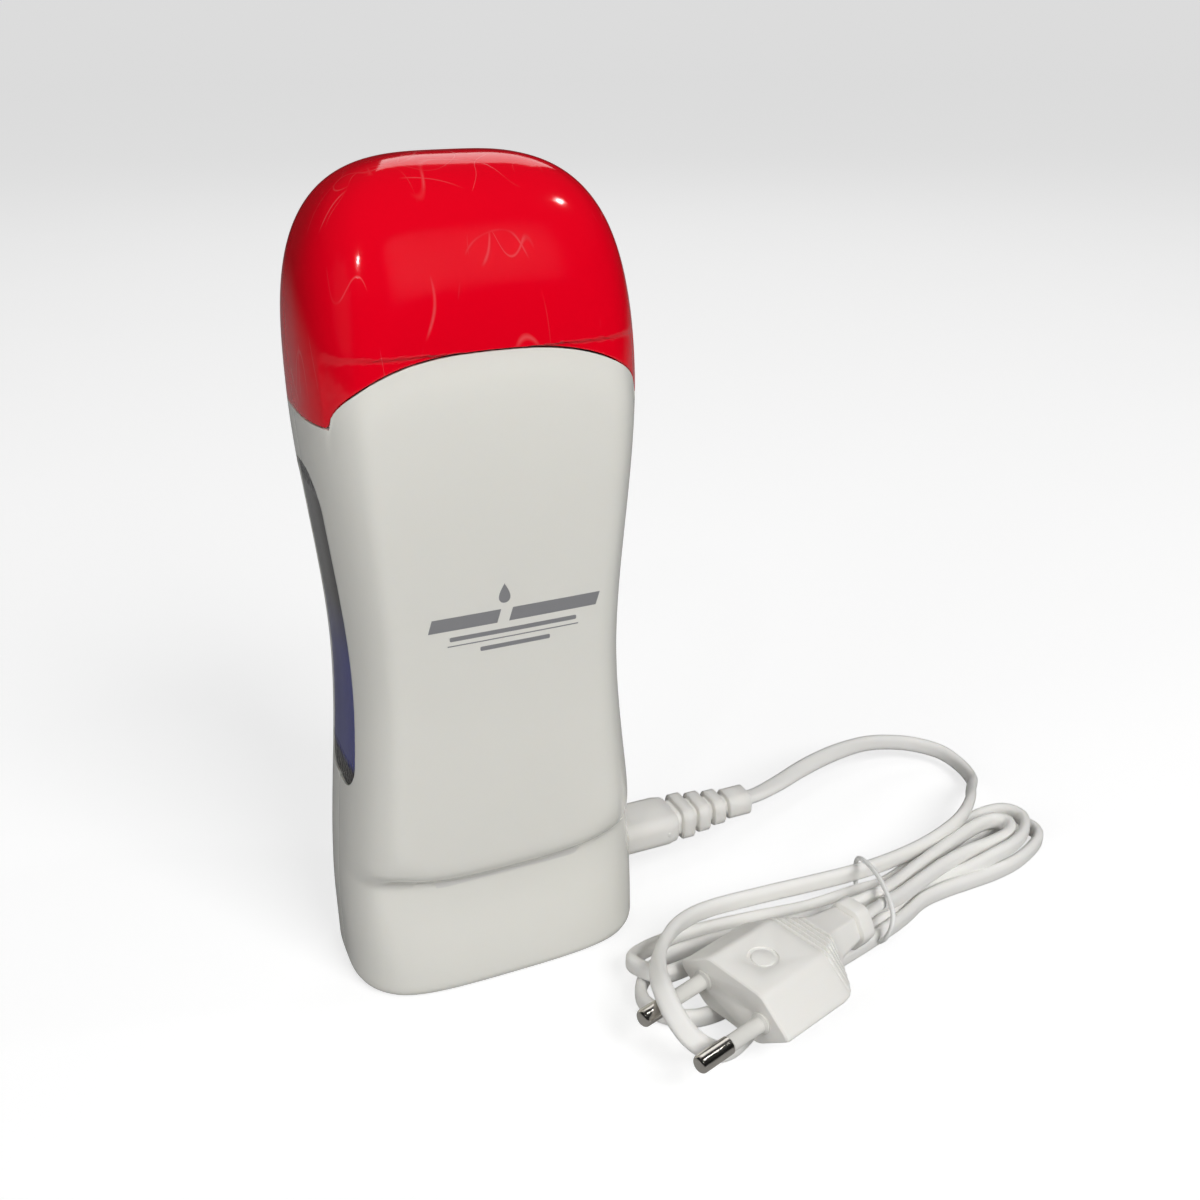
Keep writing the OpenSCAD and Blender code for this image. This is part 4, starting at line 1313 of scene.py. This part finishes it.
@dataclass
class Plug:
    """Flat two-pin plug with a hexagonal body, a ribbed neck and a collar."""

    at: Vector = field(default_factory=lambda: Vector((36.0, -62.0, 11.75)) * MM)
    turn: float = math.radians(17)
    wide: float = 34.0 * MM
    thick: float = 13.7 * MM
    flat: float = 16.0 * MM
    length: float = 20.0 * MM
    neck_start: float = 27.0 * MM
    neck_end: float = 38.0 * MM
    collar_l: float = 4.5 * MM
    pin_y: float = 8.75 * MM
    pin_r: float = 2.0 * MM
    pin_l: float = 19.0 * MM
    bare_from: float = 10.0 * MM
    sleeve_r: float = 1.8 * MM
    core_r: float = 1.4 * MM
    mark_x: float = 9.5 * MM
    ribs: int = 5
    rib_pitch: float = 1.5 * MM
    rib_depth: float = 0.55 * MM

    def placed(self, piece: Piece) -> Piece:
        """Turn a piece that was modelled in the plug's own frame into place."""
        turn = Matrix.Rotation(self.turn, 4, "Z")
        edit_points(piece, lambda co: self.at + turn @ co)
        return piece

    def hexagon(self, wide: float, thick: float, flat: float, soft: float = 0.12) -> Outline:
        """Flattened hexagon with rounded corners, as y and z."""
        corners = [(wide / 2, 0.0), (flat / 2, thick / 2), (-flat / 2, thick / 2),
                   (-wide / 2, 0.0), (-flat / 2, -thick / 2), (flat / 2, -thick / 2)]
        points = []
        for i, corner in enumerate(corners):
            here = Vector(corner)
            before, after = Vector(corners[i - 1]), Vector(corners[(i + 1) % 6])
            reach = soft * min((before - here).length, (after - here).length) * (1.0 if i % 3 else 1.3)
            start = here + (before - here).normalized() * reach
            end = here + (after - here).normalized() * reach
            for k in range(6):
                t = k / 5
                spot = start * (1 - t) ** 2 + here * 2 * t * (1 - t) + end * t ** 2
                points.append((spot.x, spot.y))
        return points

    def shoulder(self, x: float, sunk: float) -> Outline:
        """Outline of the shoulder and the neck.

        Args:
            x: Distance from the plug's face.
            sunk: How deep a groove lies below the top and the bottom.

        Returns:
            The outline's points.
        """
        t = ease((x - self.length) / (self.neck_start - self.length + 3 * MM))
        s = (x - self.neck_start) / (self.neck_end - self.neck_start)
        wide = lerp(self.wide - 0.6 * MM, lerp(15.0, 10.5, max(0.0, s)) * MM, t)
        thick = lerp(self.thick, lerp(11.5, 9.0, max(0.0, s)) * MM, t)
        return self.hexagon(wide, thick - 2 * sunk, lerp(self.flat, lerp(8.0, 6.0, max(0.0, s)) * MM, t))

    def body(self) -> Piece:
        """Model the body, the ribbed shoulder, the neck and the collar."""
        slices = [(0.0, self.hexagon(self.wide - 1.6 * MM, self.thick - 1.0 * MM, self.flat)),
                  (0.35 * MM, self.hexagon(self.wide - 0.5 * MM, self.thick - 0.3 * MM, self.flat)),
                  (1.0 * MM, self.hexagon(self.wide, self.thick, self.flat)),
                  (self.length - 1.2 * MM, self.hexagon(self.wide, self.thick, self.flat))]
        rib_end = self.length + 0.5 * MM + self.ribs * self.rib_pitch
        for k in range(self.ribs):
            x = self.length + 0.5 * MM + self.rib_pitch * k
            slices += [(x, self.shoulder(x, 0.0)), (x + 0.15 * MM, self.shoulder(x, self.rib_depth)),
                       (x + 0.7 * MM, self.shoulder(x + 0.7 * MM, self.rib_depth)),
                       (x + 0.85 * MM, self.shoulder(x + 0.85 * MM, 0.0))]
        for k in range(7):
            x = lerp(rib_end, self.neck_end - 0.4 * MM, k / 6)
            slices.append((x, self.shoulder(x, 0.0)))
        end = self.neck_end + self.collar_l
        slices += [(self.neck_end, self.hexagon(9.5 * MM, 8.0 * MM, 5.5 * MM)),
                   (self.neck_end + 0.3 * MM, self.hexagon(12.6 * MM, 11.0 * MM, 6.4 * MM, 0.25)),
                   (self.neck_end + 0.8 * MM, self.hexagon(13 * MM, 11.4 * MM, 6.4 * MM, 0.25)),
                   (end - 0.5 * MM, self.hexagon(13 * MM, 11.4 * MM, 6.4 * MM, 0.25)),
                   (end, self.hexagon(12 * MM, 10.4 * MM, 6.0 * MM, 0.25))]
        piece = stack("plug_moulding", slices)
        for side in (1, -1):
            y = side * self.pin_y
            cut(piece, rod("pin_well", self.core_r, Vector((-1 * MM, y, 0)), Vector((9 * MM, y, 0)), 24))
        cut(piece, rod("mould_ring", 3.6 * MM, Vector((self.mark_x, 0, self.thick / 2 - 0.35 * MM)),
                       Vector((self.mark_x, 0, self.thick / 2 + 1 * MM)), 40))
        round_off(piece, 0.3 * MM, 2, 28, 32)
        return fit_out(self.placed(piece), "lead", Slot.LEAD, "plug_body")

    def mark_disc(self) -> Piece:
        """Model the raised disc inside the plug's round recess."""
        top = self.thick / 2 - 0.05 * MM
        disc = rod("plug_disc", 2.7 * MM, Vector((self.mark_x, 0, top - 1.5 * MM)),
                   Vector((self.mark_x, 0, top)), 36)
        round_off(disc, 0.2 * MM, 2, 50, 40)
        return fit_out(self.placed(disc), "lead", Slot.LEAD)

    def turned(self, name: str, profile: Outline, side: int) -> Piece:
        """Turn a profile round a pin's axis.

        Args:
            name: Name of the piece.
            profile: Radius and distance from the plug's face, in metres.
            side: 1 for the far pin and -1 for the near one.

        Returns:
            The closed piece, in place.
        """
        sides = 36

        def place(column: int, row: int) -> Vector:
            """Place of a point of the surface."""
            radius, out = profile[row]
            a = 2 * math.pi * (column % sides) / sides
            return Vector((-out, side * self.pin_y + radius * math.cos(a), radius * math.sin(a)))

        piece = skin(name, sides, len(profile) - 1, place)
        close_ends(piece)
        face_outwards(piece)
        smooth(piece, 35)
        return self.placed(piece)

    def pin(self, side: int, label: str) -> Piece:
        """Model a metal pin with its rounded tip."""
        profile = [(self.core_r, -8.9 * MM), (self.core_r, self.bare_from),
                   (self.pin_r - 0.15 * MM, self.bare_from), (self.pin_r, self.bare_from + 0.15 * MM)]
        tip = 0.9 * MM
        for k in range(7):
            a = math.pi / 2 * k / 6
            profile.append((self.pin_r - tip + tip * math.cos(a), self.pin_l - tip + tip * math.sin(a)))
        piece = self.turned(f"plug_pin_{label}", profile, side)
        return fit_out(piece, "lead", Slot.PIN, "plug_pins")

    def sleeve(self, side: int, label: str) -> Piece:
        """Model the insulating sleeve on a pin, with its base."""
        bore, end = 1.42 * MM, self.bare_from - 0.02 * MM
        profile = [(bore, 0.0), (self.sleeve_r + 0.7 * MM, 0.0), (self.sleeve_r + 0.7 * MM, 0.5 * MM),
                   (self.sleeve_r, 0.9 * MM), (self.sleeve_r, self.bare_from - 0.1 * MM),
                   (self.sleeve_r - 0.1 * MM, end), (bore, end)]
        piece = self.turned(f"pin_sleeve_{label}", profile, side)
        return fit_out(piece, "lead", Slot.SLEEVE, "pin_sleeves")

    def make(self) -> list[Piece]:
        """Model the plug."""
        pieces = [self.body(), self.mark_disc()]
        for side, label in ((1, "far"), (-1, "near")):
            pieces += [self.pin(side, label), self.sleeve(side, label)]
        return pieces


# ---------------------------------------------------------------- inside


@dataclass
class Inside:
    """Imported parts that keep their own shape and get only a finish."""

    finishes: dict[str, Slot] = field(default_factory=lambda: {
        "neck_ring": Slot.INNER, "cartridge_pocket": Slot.INNER, "heating_plate": Slot.PLATE,
        "heating_element": Slot.ELEMENT, "element_clip": Slot.CLIP, "insulation_sheet": Slot.SHEET,
        "thermostat": Slot.PLATE, "thermal_fuse": Slot.FUSE, "live_wire": Slot.LIVE,
        "neutral_wire": Slot.NEUTRAL, "inlet_housing": Slot.INLET, "inlet_pins": Slot.CONTACT,
        "connector_contacts": Slot.CONTACT, "shell_screws": Slot.SCREW})

    def make(self) -> list[Piece]:
        """Give each part its finish."""
        for node, slot in self.finishes.items():
            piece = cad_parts[node]
            piece.data.materials.clear()
            piece.data.materials.append(FINISHES[slot].build())
        return [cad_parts[node] for node in self.finishes]


@dataclass
class ScrewWells:
    """Wells in the rear shell that lead to the two screws."""

    x: float = 13.0 * MM
    z: float = 8.5 * MM
    radius: float = 2.9 * MM
    wall: float = 0.5 * MM
    start_y: float = 14.0 * MM

    def cut_into(self, shell: Piece) -> None:
        """Cut the wells' mouths into the rear shell."""
        for side in (1, -1):
            x = side * self.x
            cut(shell, rod("well_mouth", self.radius, Vector((x, self.start_y, self.z)),
                           Vector((x, 40 * MM, self.z)), 40))
        smooth(shell, 40)

    def make(self) -> list[Piece]:
        """Model the wells' walls."""
        pieces = []
        for side, label in ((1, "right"), (-1, "left")):
            x = side * self.x
            end = FORM.rear_depth(self.z) - 2.0 * MM
            well = rod(f"screw_well_{label}", self.radius + self.wall, Vector((x, self.start_y, self.z)),
                       Vector((x, end, self.z)), 40)
            cut(well, rod("well_bore", self.radius, Vector((x, self.start_y - 1 * MM, self.z)),
                          Vector((x, end + 1 * MM, self.z)), 40))
            smooth(well, 40)
            pieces.append(fit_out(well, "heater", Slot.SHELL))
        return pieces


# ---------------------------------------------------------------- studio


@dataclass
class Studio:
    """Pale floor, soft lamps and the camera."""

    place: Vector = field(default_factory=lambda: Vector((-0.0746, -0.2470, 0.2049)))
    yaw: float = math.radians(23.3)
    pitch: float = math.radians(24.3)
    roll: float = math.radians(-0.36)
    lens: float = 37.5
    floor_glow: float = 0.70
    room_low: float = 0.18
    room_high: float = 0.82

    def camera(self) -> None:
        """Set the camera up."""
        ahead = Vector((math.sin(self.yaw) * math.cos(self.pitch), math.cos(self.yaw) * math.cos(self.pitch),
                        -math.sin(self.pitch)))
        right = Vector((math.cos(self.yaw), -math.sin(self.yaw), 0.0))
        up = right.cross(ahead)
        turned = right * math.cos(self.roll) + up * math.sin(self.roll)
        upright = up * math.cos(self.roll) - right * math.sin(self.roll)
        data = bpy.data.cameras.new("camera")
        data.lens = self.lens
        data.sensor_width = 36.0
        data.clip_start = 0.01
        camera = bpy.data.objects.new("camera", data)
        bpy.context.scene.collection.objects.link(camera)
        camera.matrix_world = Matrix((
            (turned.x, upright.x, -ahead.x, self.place.x), (turned.y, upright.y, -ahead.y, self.place.y),
            (turned.z, upright.z, -ahead.z, self.place.z), (0, 0, 0, 1)))
        bpy.context.scene.camera = camera

    def floor(self) -> Piece:
        """Lay a plain pale floor that rises into a backdrop far round the object.

        Its glow keeps it pale without lighting the object from below.
        """
        flat_r, bend_r, wall_h = 7.0, 1.5, 4.5

        def place(column: int, row: int) -> Vector:
            """Place of a point of the dish."""
            around = 2 * math.pi * (column % 48) / 48
            if row <= 12:
                out, z = flat_r * row / 12, 0.0
            elif row <= 24:
                a = math.pi / 2 * (row - 12) / 12
                out, z = flat_r + bend_r * math.sin(a), bend_r * (1 - math.cos(a))
            else:
                out, z = flat_r + bend_r, lerp(bend_r, wall_h, (row - 24) / 4)
            return Vector((out * math.cos(around), out * math.sin(around), z - 0.0002))

        floor = skin("floor", 48, 28, place, flip=True)
        smooth(floor, 60)
        paper = Finish("floor_paper", (0.42, 0.42, 0.42), roughness=0.85, tone=0.004, tone_scale=3,
                       grain_depth=0.00001).build()
        tree = paper.node_tree
        shader = tree.nodes["Principled BSDF"]
        shader.inputs["Emission Color"].default_value = (1.0, 1.0, 1.0, 1)
        seen = tree.nodes.new("ShaderNodeLightPath").outputs["Is Camera Ray"]
        tree.links.new(ranged(tree, seen, 0.0, 1.0, 0.0, self.floor_glow), shader.inputs["Emission Strength"])
        floor.data.materials.append(paper)
        return floor

    def lamp(self, name: str, place: Vector, aim: Vector, size: float, power: float,
             sharp: bool = True) -> None:
        """Hang a soft square lamp.

        Args:
            name: Name of the lamp.
            place: Where it hangs.
            aim: Point that it faces.
            size: Length of its sides.
            power: Its power, in watts.
            sharp: Whether it shows in glossy surfaces.
        """
        data = bpy.data.lights.new(name, "AREA")
        data.size = size
        data.energy = power
        lamp = bpy.data.objects.new(name, data)
        lamp.location = place
        lamp.rotation_euler = (aim - place).to_track_quat("-Z", "Y").to_euler()
        lamp.visible_glossy = sharp
        bpy.context.scene.collection.objects.link(lamp)

    def mirrored(self, share: float, z: float, away: float) -> tuple[Vector, Vector]:
        """Find where a lamp must hang for the camera to see it mirrored in the cap.

        Args:
            share: Share of the way round the cap's front.
            z: Height of the reflection.
            away: Distance of the lamp from the cap.

        Returns:
            The lamp's place and the point of the cap.
        """
        spot = FORM.point(share, z, True)
        across = FORM.point(share + 0.01, z, True) - FORM.point(share - 0.01, z, True)
        upwards = FORM.point(share, z + 0.5 * MM, True) - FORM.point(share, z - 0.5 * MM, True)
        normal = across.cross(upwards).normalized()
        if normal.dot(self.place - spot) < 0:
            normal.negate()
        view = (self.place - spot).normalized()
        return spot + (2 * normal.dot(view) * normal - view) * away, spot

    def light(self) -> None:
        """Light the floor and the object softly, with two small lamps mirrored in the cap."""
        world = bpy.data.worlds.new("room")
        bpy.context.scene.world = world
        world.use_nodes = True
        shader = world.node_tree.nodes["Background"]
        tree = world.node_tree
        split = tree.nodes.new("ShaderNodeSeparateXYZ")
        tree.links.new(tree.nodes.new("ShaderNodeTexCoord").outputs["Generated"], split.inputs["Vector"])
        bright = ranged(tree, split.outputs["Z"], 0.0, 1.0, self.room_low, self.room_high)
        tree.links.new(bright, shader.inputs["Strength"])
        middle = Vector((0.03, -0.02, 0.09))
        self.lamp("key", Vector((0.35, -1.15, 1.05)), middle, 0.7, 17.5, False)
        self.lamp("fill", Vector((-1.3, -0.5, 0.6)), middle, 0.8, 7.0, False)
        self.lamp("rear", Vector((0.5, 1.1, 1.2)), middle, 0.8, 3.0)
        for name, share, z in (("spark_left", 0.26, 168.5 * MM), ("spark_right", 0.70, 176.2 * MM)):
            place, spot = self.mirrored(share, z, 0.9)
            self.lamp(name, place, spot, 0.05, 0.45)

    def make(self) -> None:
        """Set the studio up."""
        self.camera()
        self.floor()
        self.light()
        bpy.context.scene.view_settings.view_transform = "Standard"


def main() -> None:
    """Build the object piece by piece, and report each piece."""
    logging.basicConfig(level=logging.INFO, format="%(message)s")
    Studio().make()
    cord = MainsCord()
    cord_piece = cord.make()
    tie = WireTie().make()
    connector = Connector().make()
    plug = Plug().make()
    cord.declare()
    built = [cord_piece, tie, *connector, *plug]
    built.append(Shell("front_housing", "front_shell", True).make())
    rear = Shell("rear_housing", "rear_shell", False).make()
    wells = ScrewWells()
    wells.cut_into(rear)
    built += [rear, *wells.make(), Cap().make(), SideWindow().make()]
    built += PrintedMark().make()
    built += Inside().make()
    for piece in built:
        low, high = (Vector(map(f, zip(*(v.co for v in piece.data.vertices)))) for f in (min, max))
        LOG.info("%-22s %6d faces  %s  %s", piece.name, len(piece.data.polygons),
                 [round(c * 1000, 1) for c in low], [round(c * 1000, 1) for c in high])
    bpy.context.view_layer.update()


if __name__ == "__main__":
    main()
